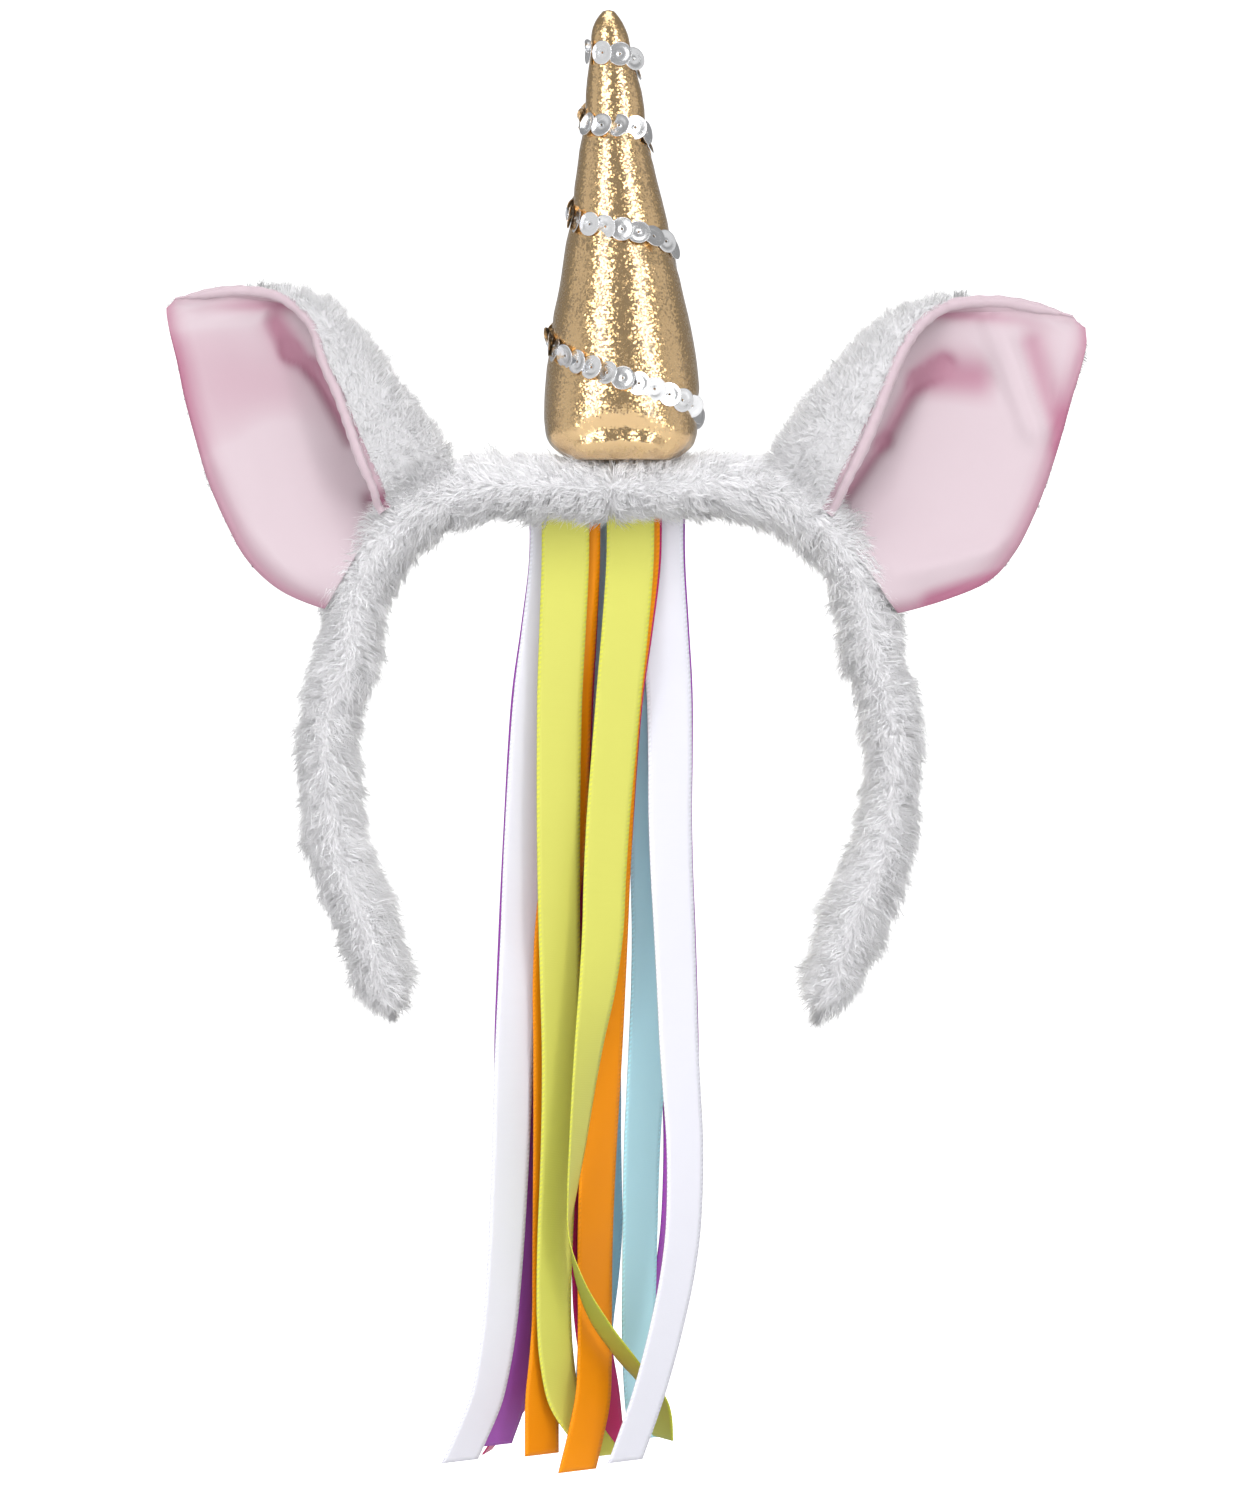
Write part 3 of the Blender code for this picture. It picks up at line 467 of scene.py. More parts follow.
# Side, table, centre of the bend below, which way the satin faces, and how far the pile near the tip leans
# over the top edge and the outer edge.
EARS = (
    ("left", LEFT_EAR, BEND_CENTRE_LEFT, -1.0, 0.7, -0.6),
    ("right", RIGHT_EAR, BEND_CENTRE_RIGHT, 1.0, 1.8, 1.1),
)
ear_shapes = {}
for index, (side, table, bend_centre_x, sign, top_lean, outer_lean) in enumerate(EARS):
    surface = ear_surface(table, bend_centre_x)
    inward = ear_inward(surface, sign)
    ear_shapes[side] = (surface, inward)
    near = surface - inward * SEAM_GAP
    far = surface - inward * (SEAM_GAP + PLUSH_BACKING)
    coarse = (slice(0, -3, 3), slice(3, -3, 3))
    skin = add_shell("ear_" + side + "_plush_backing", near[coarse], far[coarse], plush)
    store_value(skin, "tone_and_shade", np.full(len(skin.data.vertices), EAR_BACKING_SHADED_TONE))
    rng = np.random.default_rng(EAR_SEED + index)
    cells = np.cross(far[1:, :-1] - far[:-1, :-1], far[:-1, 1:] - far[:-1, :-1])
    area = np.linalg.norm(cells, axis=-1).ravel()
    area[np.arange(len(area)) % (EAR_STEPS - 1) < 2] = 0.0
    chosen = rng.choice(len(area), EAR_STRANDS, p=area / area.sum())
    row, step = chosen // (EAR_STEPS - 1), chosen % (EAR_STEPS - 1)
    row_share, step_share = rng.uniform(0.0, 1.0, (2, EAR_STRANDS, 1))
    low = far[row, step] * (1 - step_share) + far[row, step + 1] * step_share
    high = far[row + 1, step] * (1 - step_share) + far[row + 1, step + 1] * step_share
    roots = low * (1 - row_share) + high * row_share
    normals = -inward[row, step]
    upward = unit(np.gradient(surface, axis=0))[row, step]
    crosswise = unit(np.gradient(surface, axis=1))[row, step]
    seam_edge = np.clip(1.0 - step / 12.0, 0.0, 1.0)[:, None]
    outer_edge = np.clip(1.0 - (EAR_STEPS - 1 - step) / 12.0, 0.0, 1.0)[:, None]
    to_tip = np.clip(row / EAR_ROWS * 4.0 - 2.6, 0.0, 1.0)[:, None]
    fringe = to_tip * np.clip(1.0 - step / 26.0, 0.0, 1.0)[:, None]
    comb = upward * 0.3 + crosswise * (seam_edge * 0.2 - fringe * top_lean)
    comb = comb + crosswise * outer_edge * np.where(to_tip > 0.5, outer_lean, -0.6)
    length = EAR_PILE * (1.0 - 0.45 * outer_edge[:, 0] - 0.5 * seam_edge[:, 0] * (1.0 - to_tip[:, 0]))
    length = length * (1.0 + fringe[:, 0] * top_lean * rng.uniform(0.0, 0.5, EAR_STRANDS))
    seed = 100 + index * 20
    pile = grow_pile("ear_" + side + "_pile", roots, normals, comb, length, plush, seed, EAR_PILE_SHADED_BRIGHTNESS)
    for piece in (skin, pile):
        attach(piece, "root")
        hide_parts("ear_" + side + "_back")

# Ear linings: pale pink satin cut a little smaller than the plush, so the seam rolls to the inside as a
# thin rim. The cloth is thin and slightly puckered along the seam.

SATIN_SHEET = 0.5
ROLL_SIDES = 12
# The satin where lit, and a deeper pink painted where shade falls in folds, inside the curl and at edges.
SATIN_LIT = (0.54, 0.44, 0.482, 1.0)
SATIN_PAINTED_SHADE = (0.36, 0.12, 0.2, 1.0)
# Rows at the foot of the ear that lie inside the band's pile and have no satin.
BURIED_ROWS = 9
# Soft ridges (more than zero) and hollows of the satin: both ends of the line as x and z seen from the
# front, its half width and its height.
LEFT_FOLDS = (
    (-84.5, 50.0, -80.5, 43.0, 3.2, -1.7),
    (-80.5, 42.5, -75.0, 38.5, 2.2, -1.5),
    (-75.0, 38.5, -65.0, 21.0, 2.0, -1.7),
    (-108.0, 50.0, -88.0, 52.5, 3.0, 0.7),
    (-103.0, 40.0, -86.0, 35.0, 13.0, -0.55),
    (-98.0, 26.0, -86.0, 22.0, 13.0, -0.35),
    (-84.0, 18.0, -78.0, 2.0, 9.0, 1.0),
    (-96.0, 12.0, -80.0, -16.0, 5.0, 0.9),
    (-60.0, 5.0, -54.0, 4.0, 2.5, -1.5),
)
RIGHT_FOLDS = (
    (56.0, 3.0, 68.0, 20.0, 1.8, -1.5),
    (68.0, 20.0, 76.5, 35.5, 2.2, -1.7),
    (76.5, 35.5, 83.0, 40.0, 2.6, -1.5),
    (82.0, 36.5, 91.0, 36.0, 5.5, -1.6),
    (95.0, 50.0, 106.0, 22.0, 3.6, 1.5),
    (105.0, 44.0, 112.0, 20.0, 4.0, -1.3),
    (74.0, -13.0, 97.0, -8.0, 3.0, 1.4),
    (80.0, -19.5, 100.0, -14.0, 3.0, -1.2),
    (82.0, 18.0, 90.0, 0.0, 10.0, 0.8),
)


def fold_height(surface, folds):
    """How far the folds raise each point of a satin surface, in millimetres."""
    spots = surface[..., (0, 2)]
    height = np.zeros(spots.shape[:2])
    for x_from, z_from, x_to, z_to, half_width, rise in folds:
        start, way = np.array([x_from, z_from]), np.array([x_to - x_from, z_to - z_from])
        share = np.clip(np.sum((spots - start) * way, axis=-1) / np.sum(way**2), 0.0, 1.0)
        away = np.linalg.norm(spots - start - share[..., None] * way, axis=-1)
        height += rise * np.exp(-((away / half_width) ** 2))
    return height


pink, tree, shader = new_material("pale pink satin", (0.56, 0.46, 0.5), 0.42)
shader.inputs["Sheen Weight"].default_value = 0.35
# Painted shade: a stored value at each corner mixes the satin towards the deeper pink.
painted_shade = add_node(tree, "ShaderNodeAttribute", attribute_name="painted_shade")
pink_mix = add_node(tree, "ShaderNodeMix", data_type="RGBA")
pink_mix.inputs["A"].default_value = SATIN_LIT
pink_mix.inputs["B"].default_value = SATIN_PAINTED_SHADE
tree.links.new(painted_shade.outputs["Fac"], pink_mix.inputs["Factor"])
tree.links.new(pink_mix.outputs["Result"], shader.inputs["Base Color"])
shader.inputs["Specular IOR Level"].default_value = 0.45
for side, folds, roll in (("left", LEFT_FOLDS, 2.6), ("right", RIGHT_FOLDS, 3.0)):
    surface, inward = ear_shapes[side]
    steps = np.linalg.norm(np.diff(surface, axis=1), axis=-1)
    from_seam = np.concatenate([np.zeros((EAR_ROWS, 1)), np.cumsum(steps, axis=1)], axis=1)
    to_outer = from_seam[:, -1:] - from_seam
    to_tip = np.linspace(1.0, 0.0, EAR_ROWS)[:, None] * 110.0
    edge = np.minimum(np.minimum(from_seam, to_outer), to_tip)
    room = np.clip(np.minimum(from_seam[:, -1:] / 30.0, 1.0), 0.05, 1.0)
    near_tip = np.clip((66.0 - to_tip) / 25.0, 0.0, 1.0)
    room = room * (1.0 - 0.9 * near_tip * np.exp(-((from_seam / 12.0) ** 2)))
    pad = 1.9 * (1.0 - np.exp(-((edge / 2.6) ** 2))) * room
    rolled = 1.1 * np.exp(-(((from_seam - roll) / (0.6 * roll)) ** 2))
    pucker = 0.16 * np.sin(np.arange(EAR_ROWS) * 1.15 + 2.0 * soft_noise(surface[:, 0], 9.0, 6))[:, None]
    pucker = pucker * np.exp(-((from_seam - 2.0) / 3.0) ** 2)
    ripple = soft_noise(surface, 6.0, 3) * 0.12 + soft_noise(surface, 17.0, 4) * 0.4
    body = np.clip(edge / 6.0, 0.0, 1.0)
    raised = pad + (rolled + pucker) * room + (ripple + fold_height(surface, folds)) * body
    near = surface + inward * (SEAM_GAP + SATIN_SHEET + np.maximum(raised, 0.0))[..., None]
    # Painted shade in the fold hollows, inside the curl, along the outer edge and close to every edge.
    hollow = np.clip(-fold_height(surface, folds) / 1.7, 0.0, 1.0)
    curl_inside = np.exp(-(((from_seam - 7.0) / 3.5) ** 2)) * np.clip(to_tip / 20.0 - 0.6, 0.0, 1.0)
    outer_shade = 0.5 * np.exp(-((to_outer / 2.8) ** 2))
    painted_shade = np.clip(hollow * 0.8 + curl_inside * 0.8 + outer_shade + 0.25 * (1.0 - body), 0.0, 1.0)
    far = surface + inward * SEAM_GAP
    seam = surface[BURIED_ROWS:, 0]
    heading = unit(np.gradient(seam, axis=0))
    outward = unit(np.cross(heading, inward[BURIED_ROWS:, 0]))
    share = np.linspace(0.0, 1.0, len(seam))
    thick = roll * 0.5 * np.clip(share / 0.2, 0.8, 1.0) * np.clip((1.0 - share) / 0.12, 0.3, 1.0)
    thick = thick * (1.0 + 0.07 * np.sin(np.arange(len(seam)) * 1.15))
    turn = np.linspace(0.0, 2 * math.pi, ROLL_SIDES, endpoint=False)
    towards_satin = inward[BURIED_ROWS:, None, 0] * np.cos(turn)[None, :, None]
    round_it = towards_satin + outward[:, None] * np.sin(turn)[None, :, None]
    tube = seam[:, None] + round_it * thick[:, None, None]
    tube_faces = grid_faces(len(seam), ROLL_SIDES, closed=True)
    rolled_seam = add_mesh("ear_" + side + "_seam_roll", tube.reshape(-1, 3), tube_faces, pink)
    # A little painted shade on the rolled seam.
    store_value(rolled_seam, "painted_shade", np.full(tube.shape[0] * ROLL_SIDES, 0.1))
    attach(rolled_seam, "root")
    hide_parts("ear_" + side + "_lining")
    lining = add_shell("ear_" + side + "_satin", near[BURIED_ROWS:], far[BURIED_ROWS:], pink)
    store_value(lining, "painted_shade", np.tile(painted_shade[BURIED_ROWS:].ravel(), 2))
    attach(lining, "root")
    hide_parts("ear_" + side + "_lining")

# Horn: a cone of gold foil knit, sewn up the back, stuffed firm and sewn to the top of the band. The
# stuffing swells between the turns of the string that is pulled tight round it.

# Height, centre x and half width of the cone, from its foot to its tip.
HORN_SECTIONS = (
    (15.0, 2.6, 12.4),
    (16.8, 2.6, 15.4),
    (18.4, 2.5, 17.2),
    (20.6, 2.2, 18.4),
    (24.0, 2.0, 18.9),
    (29.0, 2.4, 19.4),
    (38.0, 2.5, 18.9),
    (48.0, 2.2, 17.6),
    (58.0, 2.1, 15.4),
    (68.0, 1.8, 13.6),
    (78.0, 1.4, 11.7),
    (88.0, 0.9, 9.7),
    (98.0, 0.6, 8.2),
    (108.0, 0.4, 6.9),
    (118.0, -0.4, 5.3),
    (123.0, -0.8, 4.2),
    (125.6, -0.9, 2.9),
    (127.4, -0.9, 1.5),
)
HORN_DEPTH_RATIO = 0.8
HORN_SQUARENESS = 0.05
HORN_PUFF = 0.9
FACET_TILT = 0.27
HORN_ROWS = 240
HORN_SIDES = 150
# Half turns of the string from the front of the horn, and its height at each.
STRING_TURNS = (-0.9, -0.5, 0.5, 1.5, 2.5, 3.5, 4.5, 5.5, 6.5, 6.95)
STRING_HEIGHTS = (119.0, 117.3, 114.3, 100.0, 95.8, 76.6, 67.3, 45.3, 26.2, 21.6)


def string_height(turn):
    """Height of the string after a number of half turns from the front of the horn."""
    turn = np.asarray(turn, float)
    return smooth_curve(STRING_TURNS, STRING_HEIGHTS, turn.ravel())[:, 0].reshape(turn.shape)


def horn_point(height, angle, lift=0.0):
    """Points on the horn at angles from the front, which grow towards the right."""
    keys = [row[0] for row in HORN_SECTIONS]
    read = smooth_curve(keys, [row[1:] for row in HORN_SECTIONS], height.ravel())
    centre = read[:, 0].reshape(height.shape)
    half_width = read[:, 1].reshape(height.shape)
    square = 1.0 + HORN_SQUARENESS * (1.0 - np.cos(4 * angle)) * np.exp(-(height - 17.6) / 9.0)
    nearest = np.full(height.shape, 99.0)
    for half_turn in range(-1, 8, 2):
        turn = half_turn + 1 + angle / math.pi
        there = (turn >= STRING_TURNS[0]) & (turn <= STRING_TURNS[-1])
        away = np.abs(height - string_height(np.clip(turn, STRING_TURNS[0], STRING_TURNS[-1])))
        nearest = np.where(there, np.minimum(nearest, away), nearest)
    puff = HORN_PUFF * (np.minimum(nearest, 7.0) / 7.0) ** 0.7 - HORN_PUFF
    # The foot: a hollow that arches between the two lower corners, the rim below it, the lobe at the lower
    # right under the dent where the string ends, and the small pleats where the foil is gathered.
    front = np.clip(np.cos(angle), 0.0, 1.0) ** 2
    arch = 16.0 + 6.5 * front
    rim = 0.7 * np.exp(-(((height - arch + 3.6) / 1.8) ** 2)) - 1.0 * np.exp(-(((height - arch) / 2.2) ** 2))
    lobe = 0.9 * np.exp(-(((height - 23.5) / 3.0) ** 2)) * np.exp(-(((angle - 1.35) / 0.5) ** 2))
    dent = -0.8 * np.exp(-(((height - 29.0) / 2.0) ** 2)) * np.exp(-(((angle - 1.35) / 0.45) ** 2))
    pleats = 0.28 * np.sin(15.0 * angle + 2.0 * np.sin(3.0 * angle)) * np.exp(-(((height - 17.0) / 4.0) ** 2))
    stuffed = rim * (0.3 + 0.7 * front) + lobe + dent + pleats
    radius = half_width * square + puff * np.minimum(1.0, half_width / 8.0) + stuffed + lift
    across = np.sin(angle) * radius + centre
    return np.stack([across, -np.cos(angle) * radius * HORN_DEPTH_RATIO, height], axis=-1)


def horn_outward(height, angle):
    """The direction straight out of the horn at points of it."""
    up = horn_point(height + 1.0, angle) - horn_point(height - 1.0, angle)
    round_it = horn_point(height, angle + 0.05) - horn_point(height, angle - 0.05)
    return unit(np.cross(round_it, up))


gold, tree, shader = new_material("gold foil knit", (0.79, 0.53, 0.25), 0.2)
shader.inputs["Metallic"].default_value = 1.0
shader.inputs["Coat Weight"].default_value = 1.0
shader.inputs["Coat IOR"].default_value = 1.7
shader.inputs["Coat Roughness"].default_value = 0.25
place = add_node(tree, "ShaderNodeTexCoord")
# The foil breaks into facets about half a millimetre wide, each tilted its own way.
crackle = add_node(tree, "ShaderNodeTexVoronoi")
crackle.inputs["Scale"].default_value = 2200.0
grain = add_node(tree, "ShaderNodeTexNoise")
grain.inputs["Scale"].default_value = 1500.0
grain.inputs["Detail"].default_value = 2.0
tree.links.new(place.outputs["Object"], crackle.inputs["Vector"])
tree.links.new(place.outputs["Object"], grain.inputs["Vector"])
foil_bump = add_node(tree, "ShaderNodeBump")
foil_bump.inputs["Strength"].default_value = 0.3
foil_bump.inputs["Distance"].default_value = 0.1 * MM
tree.links.new(grain.outputs["Fac"], foil_bump.inputs["Height"])
facet = add_node(tree, "ShaderNodeVectorMath", operation="SUBTRACT")
facet.inputs[1].default_value = (0.5, 0.5, 0.5)
tree.links.new(crackle.outputs["Color"], facet.inputs[0])
tilted = add_node(tree, "ShaderNodeVectorMath", operation="MULTIPLY_ADD")
tilted.inputs[1].default_value = (FACET_TILT, FACET_TILT, FACET_TILT)
tree.links.new(facet.outputs[0], tilted.inputs[0])
tree.links.new(foil_bump.outputs[0], tilted.inputs[2])
level = add_node(tree, "ShaderNodeVectorMath", operation="NORMALIZE")
tree.links.new(tilted.outputs[0], level.inputs[0])
tree.links.new(level.outputs[0], shader.inputs["Normal"])
heights = np.linspace(HORN_SECTIONS[0][0], HORN_SECTIONS[-1][0], HORN_ROWS)
angles = np.linspace(-math.pi, math.pi, HORN_SIDES, endpoint=False)
height, angle = np.meshgrid(heights, angles, indexing="ij")
cone = horn_point(height, angle)
tip = np.array([[HORN_SECTIONS[-1][1], 0.0, HORN_SECTIONS[-1][0] + 0.4]])
floor = np.array([[HORN_SECTIONS[0][1], 0.0, HORN_SECTIONS[0][0]]])
corners = np.concatenate([cone.reshape(-1, 3), tip, floor])
faces = grid_faces(HORN_ROWS, HORN_SIDES, closed=True)
last = (HORN_ROWS - 1) * HORN_SIDES
side = np.arange(HORN_SIDES)
after = (side + 1) % HORN_SIDES
top = np.stack([last + side, last + after, np.full(HORN_SIDES, len(corners) - 2)], axis=-1)
bottom = np.stack([after, side, np.full(HORN_SIDES, len(corners) - 1)], axis=-1)
wall = np.concatenate([faces[:, (0, 1, 2)], faces[:, (0, 2, 3)]])
horn = add_mesh("horn_foil", corners, np.concatenate([wall, top, bottom]), gold)
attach(horn, "root")
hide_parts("horn")

# Sequin string: silver cup sequins of metallised film, sewn through their holes to one thread so that
# each laps the next, and wound round the horn from its tip to its base.

SEQUIN_DIAMETER = 6.0
SEQUIN_PITCH = 4.1
SEQUIN_SIDES = 24
SEQUIN_TILT = 0.3
SEQUIN_LIFT = 0.62
SEQUIN_SEED = 5
# Radius and height of each ring of one cup, as shares of the half width, from the hole to the rim, over
# the top and back underneath.
CUP_RINGS = (
    (0.1, 0.03),
    (0.17, 0.0),
    (0.5, 0.005),
    (0.6, 0.02),
    (0.96, 0.09),
    (1.0, 0.08),
    (1.0, 0.05),
    (0.96, 0.04),
    (0.6, -0.03),
    (0.5, -0.045),
    (0.17, -0.05),
    (0.1, -0.02),
)
silver, tree, shader = new_material("silver sequin film", (0.95, 0.955, 0.97), 0.24)
shader.inputs["Metallic"].default_value = 1.0

turns = np.linspace(STRING_TURNS[0], STRING_TURNS[-1], 1200)
route = horn_point(string_height(turns), math.pi * turns, 0.3)
lengths = np.concatenate([[0.0], np.cumsum(np.linalg.norm(np.diff(route, axis=0), axis=1))])
places = np.arange(SEQUIN_DIAMETER / 2, lengths[-1] - SEQUIN_DIAMETER / 2, SEQUIN_PITCH)
centres = np.stack([np.interp(places, lengths, route[:, axis]) for axis in range(3)], axis=-1)
at_turn = np.interp(places, lengths, turns)
headings = unit(np.gradient(centres, axis=0))
outward = horn_outward(string_height(at_turn), math.pi * at_turn)
outward = unit(outward - headings * np.sum(outward * headings, axis=1)[:, None])
rng = np.random.default_rng(SEQUIN_SEED)
count = len(places)
tilt = SEQUIN_TILT + rng.normal(0.0, 0.15, count)
roll = rng.normal(0.12, 0.2, count)
across = np.cross(headings, outward)
normal = unit(outward * np.cos(tilt)[:, None] - headings * np.sin(tilt)[:, None] + across * roll[:, None])
first_axis = unit(np.cross(across, normal))
second_axis = np.cross(normal, first_axis)
middle = centres + outward * SEQUIN_LIFT
ring_angle = np.linspace(0.0, 2 * math.pi, SEQUIN_SIDES, endpoint=False)
corners = []
faces = []
ring_count = len(CUP_RINGS)
loop = grid_faces(ring_count, SEQUIN_SIDES, closed=True)
close = np.stack(
    [
        (ring_count - 1) * SEQUIN_SIDES + np.arange(SEQUIN_SIDES),
        (ring_count - 1) * SEQUIN_SIDES + (np.arange(SEQUIN_SIDES) + 1) % SEQUIN_SIDES,
        (np.arange(SEQUIN_SIDES) + 1) % SEQUIN_SIDES,
        np.arange(SEQUIN_SIDES),
    ],
    axis=-1,
)
cup_faces = np.concatenate([loop, close])
for index in range(count):
    for radius, rise in CUP_RINGS:
        reach = radius * SEQUIN_DIAMETER / 2
        circle = first_axis[index] * np.cos(ring_angle)[:, None]
        circle = circle + second_axis[index] * np.sin(ring_angle)[:, None]
        corners.append(middle[index] + circle * reach + normal[index] * rise * SEQUIN_DIAMETER / 2)
    faces.append(cup_faces + index * ring_count * SEQUIN_SIDES)
sequins = add_mesh("sequin_cups", np.concatenate(corners), np.concatenate(faces), silver)
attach(sequins, "root")
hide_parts("sequin_string")

# Ribbons: six satin ribbons 12 mm wide, each folded in two and sewn under the crown, so that twelve
# strands hang behind the band. One face is glossy and the other dull, both edges are woven firm and the
# ends are cut across.

RIBBON_WIDTH = 12.0
RIBBON_SHEET = 0.3
RIBBON_ROWS = 200
RIBBON_STEPS = 9
# The ends are cut level, and the cut spreads over this length of the strand.
LEVEL_REACH = 30.0
SELVEDGE = 0.75
SELVEDGE_PITCH = 1.2
WEFT_PITCH = 0.45
# Colour, and the shades of its glossy face and of its dull back.
RIBBON_COLOURS = (
    ("green", (0.61, 0.61, 0.125), (0.38, 0.41, 0.06)),
    ("orange", (0.8, 0.26, 0.002), (0.6, 0.18, 0.002)),
    ("magenta", (0.5, 0.03, 0.15), (0.35, 0.02, 0.09)),
    ("aqua", (0.45, 0.74, 0.83), (0.36, 0.6, 0.68)),
    ("white", (0.74, 0.74, 0.81), (0.7, 0.7, 0.77)),
    ("purple", (0.33, 0.085, 0.42), (0.22, 0.04, 0.3)),
)


def strand_lines(node):
    """Centre line and direction across of a strand, read from the corners of its solid."""
    spots = np.array([vertex.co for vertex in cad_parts[node].data.vertices]) / MM
    spots = np.unique(np.round(spots, 3), axis=0)
    spots = spots[np.argsort(-spots[:, 2])].reshape(-1, 4, 3)
    centres, acrosses = [], []
    before = np.array([1.0, 0.0, 0.0])
    for corners in spots:
        away = np.linalg.norm(corners[1:] - corners[0], axis=1)
        partner = 1 + int(np.argmin(away))
        others = [at for at in (1, 2, 3) if at != partner]
        one = (corners[0] + corners[partner]) / 2
        other = corners[others].mean(axis=0)
        across = unit(other - one)
        across = across if across @ before > 0 else -across
        before = across
        centres.append((one + other) / 2)
        acrosses.append(across)
    return np.array(centres), np.array(acrosses)


ribbon_weave = bpy.data.node_groups.new("ribbon weave", "ShaderNodeTree")
for name, kind in (("Face Colour", "NodeSocketColor"), ("Back Colour", "NodeSocketColor")):
    ribbon_weave.interface.new_socket(name, in_out="INPUT", socket_type=kind)
woven = (("Colour", "NodeSocketColor"), ("Roughness", "NodeSocketFloat"), ("Normal", "NodeSocketVector"))
for name, kind in woven:
    ribbon_weave.interface.new_socket(name, in_out="OUTPUT", socket_type=kind)
sockets_in = add_node(ribbon_weave, "NodeGroupInput")
sockets_out = add_node(ribbon_weave, "NodeGroupOutput")
link = ribbon_weave.links.new


def weave_math(operation, first, second=None, third=None):
    """One sum in the ribbon weave, on sockets or plain numbers."""
    node = add_node(ribbon_weave, "ShaderNodeMath", operation=operation)
    for socket, value in zip(node.inputs, (first, second, third)):
        if isinstance(value, (int, float)):
            socket.default_value = value
        elif value is not None:
            link(value, socket)
    return node.outputs[0]


along_value = add_node(ribbon_weave, "ShaderNodeAttribute", attribute_name="along").outputs["Fac"]
across_value = add_node(ribbon_weave, "ShaderNodeAttribute", attribute_name="across").outputs["Fac"]
glossy_value = add_node(ribbon_weave, "ShaderNodeAttribute", attribute_name="glossy_face").outputs["Fac"]
to_edge = weave_math("SUBTRACT", RIBBON_WIDTH / 2, weave_math("ABSOLUTE", across_value))
selvedge = weave_math("LESS_THAN", to_edge, SELVEDGE)
turn = weave_math("MULTIPLY", along_value, 2 * math.pi / SELVEDGE_PITCH)
lean = weave_math("MULTIPLY", across_value, 2.4)
stitch = weave_math("SINE", weave_math("ADD", turn, lean))
stitch = weave_math("MULTIPLY", weave_math("MULTIPLY_ADD", stitch, 0.5, 0.5), selvedge)
rib = weave_math("SINE", weave_math("MULTIPLY", along_value, 2 * math.pi / WEFT_PITCH))
height = weave_math("MULTIPLY_ADD", stitch, 0.1, weave_math("MULTIPLY", rib, 0.008))
bump = add_node(ribbon_weave, "ShaderNodeBump")
bump.inputs["Distance"].default_value = MM
bump.inputs["Strength"].default_value = 0.6
link(height, bump.inputs["Height"])
link(bump.outputs[0], sockets_out.inputs["Normal"])
which = weave_math("GREATER_THAN", glossy_value, 0.5)
face_mix = add_node(ribbon_weave, "ShaderNodeMix", data_type="RGBA")
link(which, face_mix.inputs["Factor"])
link(sockets_in.outputs["Back Colour"], face_mix.inputs["A"])
link(sockets_in.outputs["Face Colour"], face_mix.inputs["B"])
lighter = add_node(ribbon_weave, "ShaderNodeHueSaturation")
lighter.inputs["Saturation"].default_value = 1.12
lighter.inputs["Value"].default_value = 1.2
link(face_mix.outputs["Result"], lighter.inputs["Color"])
link(weave_math("MULTIPLY", stitch, 0.9), lighter.inputs["Fac"])
link(lighter.outputs[0], sockets_out.inputs["Colour"])
link(weave_math("MULTIPLY_ADD", which, -0.15, 0.55), sockets_out.inputs["Roughness"])

for colour, face_colour, back_colour in RIBBON_COLOURS:
    satin, tree, shader = new_material(colour + " satin", face_colour, 0.42)
    weave = add_node(tree, "ShaderNodeGroup", node_tree=ribbon_weave)
    weave.inputs["Face Colour"].default_value = (*face_colour, 1.0)
    weave.inputs["Back Colour"].default_value = (*back_colour, 1.0)
    tree.links.new(weave.outputs["Colour"], shader.inputs["Base Color"])
    tree.links.new(weave.outputs["Roughness"], shader.inputs["Roughness"])
    tree.links.new(weave.outputs["Normal"], shader.inputs["Normal"])
    shader.inputs["Sheen Weight"].default_value = 0.04
    shader.inputs["Specular IOR Level"].default_value = 0.2
    for side in ("left", "right"):
        node = "ribbon_" + colour + "_" + side
        centres, acrosses = strand_lines(node)
        keys = np.linalg.norm(np.diff(centres, axis=0), axis=1)
        keys = np.concatenate([[0.0], np.cumsum(keys)])
        along = np.linspace(0.0, keys[-1], RIBBON_ROWS)
        line = smooth_curve(keys, centres, along)
        heading = unit(np.gradient(line, axis=0))
        across = smooth_curve(keys, acrosses, along)
        across = unit(across - heading * np.sum(across * heading, axis=1)[:, None])
        facing = np.cross(heading, across)
        facing *= np.where(facing[0, 1] < 0.0, 1.0, -1.0)
        from_middle = np.linspace(-1.0, 1.0, RIBBON_STEPS) * RIBBON_WIDTH / 2
        level_end = -from_middle * across[-1, 2] / heading[-1, 2]
        near_end = np.clip(1.0 - (keys[-1] - along) / LEVEL_REACH, 0.0, 1.0)[:, None] * level_end[None, :]
        middle = line[:, None] + across[:, None] * from_middle[None, :, None]
        middle += heading[:, None] * near_end[..., None]
        near = middle + facing[:, None] * RIBBON_SHEET / 2
        far = middle - facing[:, None] * RIBBON_SHEET / 2
        strand = add_shell(node + "_cloth", near, far, satin)
        on_strand = np.broadcast_to(along[:, None], middle.shape[:2]).ravel()
        on_width = np.broadcast_to(from_middle[None, :], middle.shape[:2]).ravel()
        glossy = np.concatenate([np.ones(len(on_strand)), np.zeros(len(on_strand))])
        store_value(strand, "along", np.tile(on_strand, 2))
        store_value(strand, "across", np.tile(on_width, 2))
        store_value(strand, "glossy_face", glossy)
        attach(strand, "root")
        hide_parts(node)

# Stage: a pale seamless sweep, two tall softboxes in front that draw the streaks down the horn, a card at
# each side for its edges, light from above and behind, a wide fill that nothing glossy mirrors, and the
# camera straight in front.

FLOOR_Z = -0.3
SWEEP_BACK = 2.7
SWEEP_BEND = 0.5
BACKGROUND_GLOW = 0.9
WORLD_GLOW = 0.29

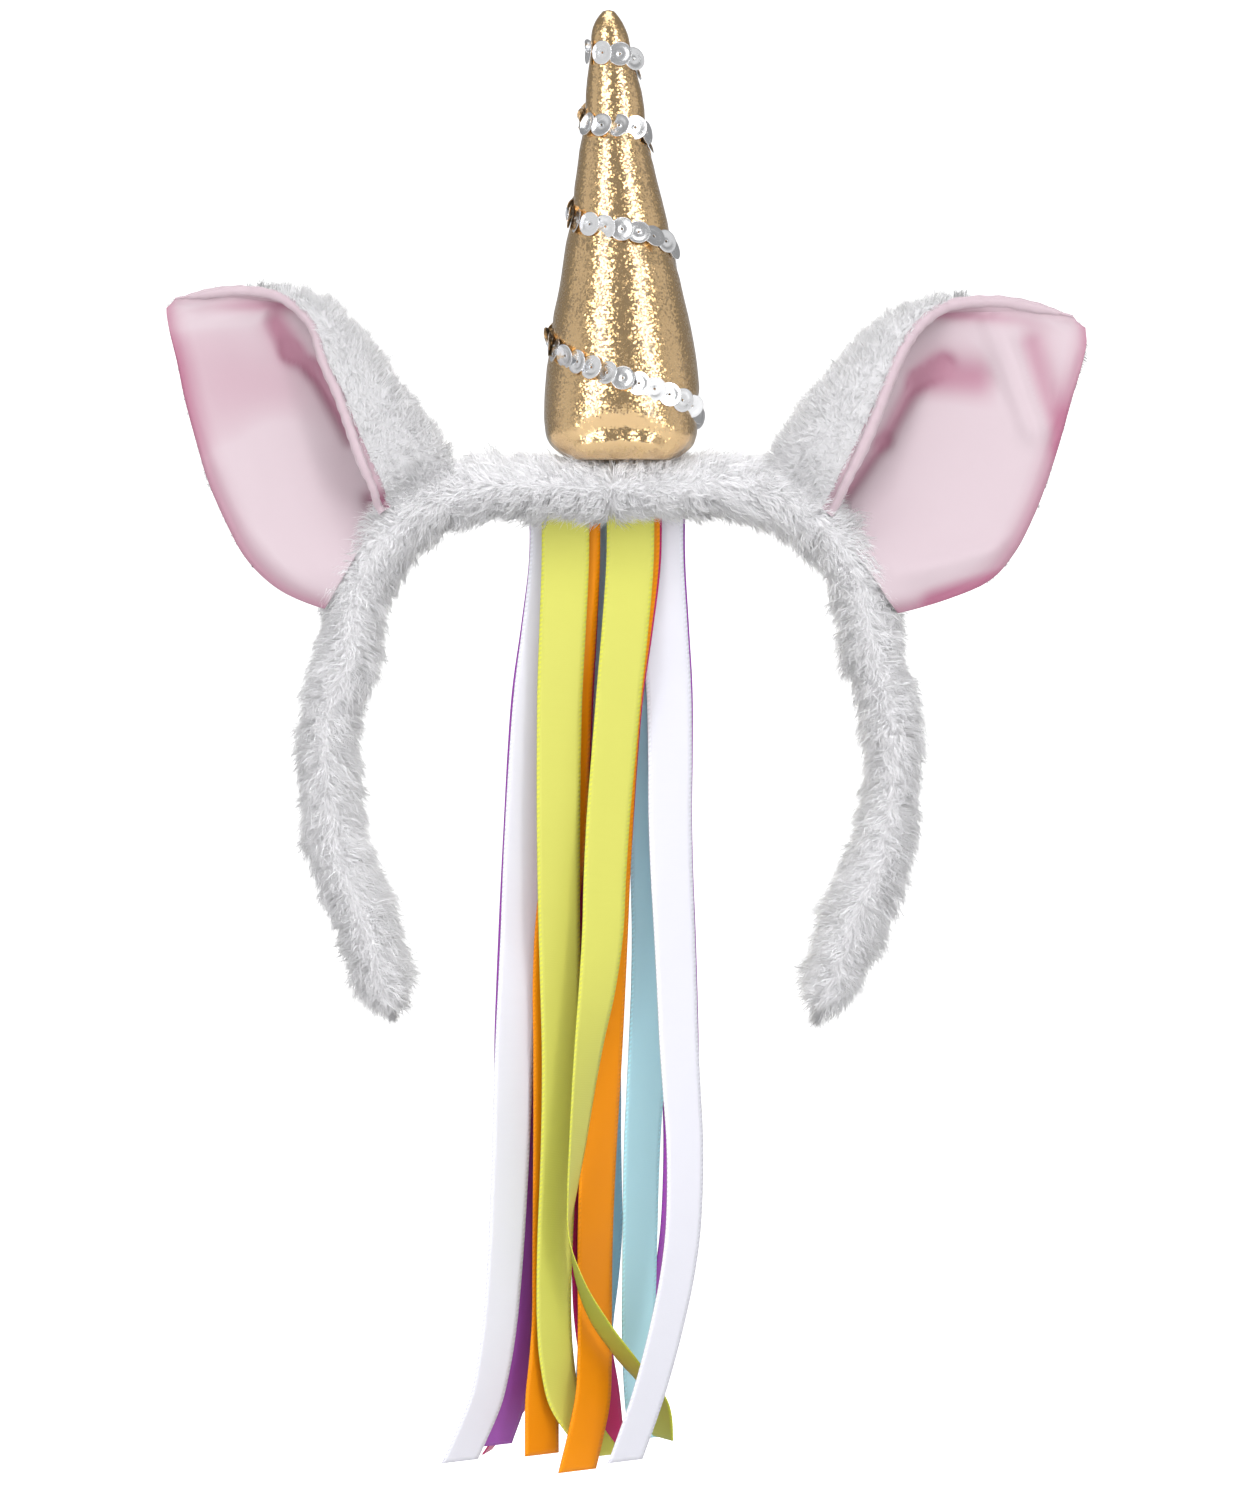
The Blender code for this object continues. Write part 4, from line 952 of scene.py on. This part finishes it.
sweep_material, tree, shader = new_material("pale seamless sweep", (0.8, 0.8, 0.8), 0.9)
shader.inputs["Emission Color"].default_value = (1.0, 1.0, 1.0, 1.0)
seen = add_node(tree, "ShaderNodeLightPath")
lit_from_behind = add_node(tree, "ShaderNodeMath", operation="MULTIPLY")
lit_from_behind.inputs[1].default_value = BACKGROUND_GLOW
tree.links.new(seen.outputs["Is Camera Ray"], lit_from_behind.inputs[0])
tree.links.new(lit_from_behind.outputs[0], shader.inputs["Emission Strength"])
profile = [(-3.2, FLOOR_Z), (SWEEP_BACK, FLOOR_Z)]
for bend in np.linspace(0.1, math.pi / 2, 16):
    profile.append((SWEEP_BACK + SWEEP_BEND * math.sin(bend), FLOOR_Z + SWEEP_BEND * (1.0 - math.cos(bend))))
profile += [(SWEEP_BACK + SWEEP_BEND, 3.0)]
corners = [(x / MM, y / MM, z / MM) for y, z in profile for x in (-3.0, 3.0)]
sweep = add_mesh("sweep", corners, grid_faces(len(profile), 2), sweep_material)


def add_softbox(name, place, aim, size, power, mirrored=True):
    """A square soft light at a place, pointed at another, which glossy things mirror or not."""
    light = bpy.data.lights.new(name, "AREA")
    light.shape = "RECTANGLE"
    light.size, light.size_y = size
    light.energy = power
    made = bpy.data.objects.new(name, light)
    made.visible_glossy = mirrored
    made.location = place
    made.rotation_euler = (Vector(aim) - Vector(place)).to_track_quat("-Z", "Y").to_euler()
    bpy.context.scene.collection.objects.link(made)


add_softbox("left softbox", (-0.634, -1.19, 0.4), (0.0, 0.0, 0.05), (0.28, 1.2), 6.2)
add_softbox("right softbox", (0.735, -1.13, 0.4), (0.0, 0.0, 0.05), (0.28, 1.2), 6.0)
add_softbox("left card", (-1.7, -0.5, 0.2), (0.0, 0.0, 0.0), (1.2, 1.6), 2.4)
add_softbox("right card", (1.7, -0.5, 0.2), (0.0, 0.0, 0.0), (1.2, 1.6), 2.4)
add_softbox("overhead softbox", (0.0, -0.3, 1.2), (0.0, 0.0, 0.0), (1.0, 0.8), 6.0)
add_softbox("front fill", (0.0, -2.1, 0.8), (0.0, 0.0, -0.05), (2.0, 1.4), 21.0, mirrored=False)
add_softbox("back softbox", (0.0, 0.75, 0.9), (0.0, 0.0, -0.05), (1.8, 0.7), 8.0, mirrored=False)

world = bpy.data.worlds.new("studio")
world.use_nodes = True
world.node_tree.nodes["Background"].inputs["Color"].default_value = (1.0, 1.0, 1.0, 1.0)
world.node_tree.nodes["Background"].inputs["Strength"].default_value = WORLD_GLOW
bpy.context.scene.world = world
bpy.context.scene.view_settings.view_transform = "Standard"

lens = bpy.data.cameras.new("camera")
lens.lens = 144.0
lens.sensor_width = 36.0
camera = bpy.data.objects.new("camera", lens)
camera.location = (0.0021, -1.5, -0.05725)
camera.rotation_euler = (math.pi / 2, 0.0, 0.0)
bpy.context.scene.collection.objects.link(camera)
bpy.context.scene.camera = camera
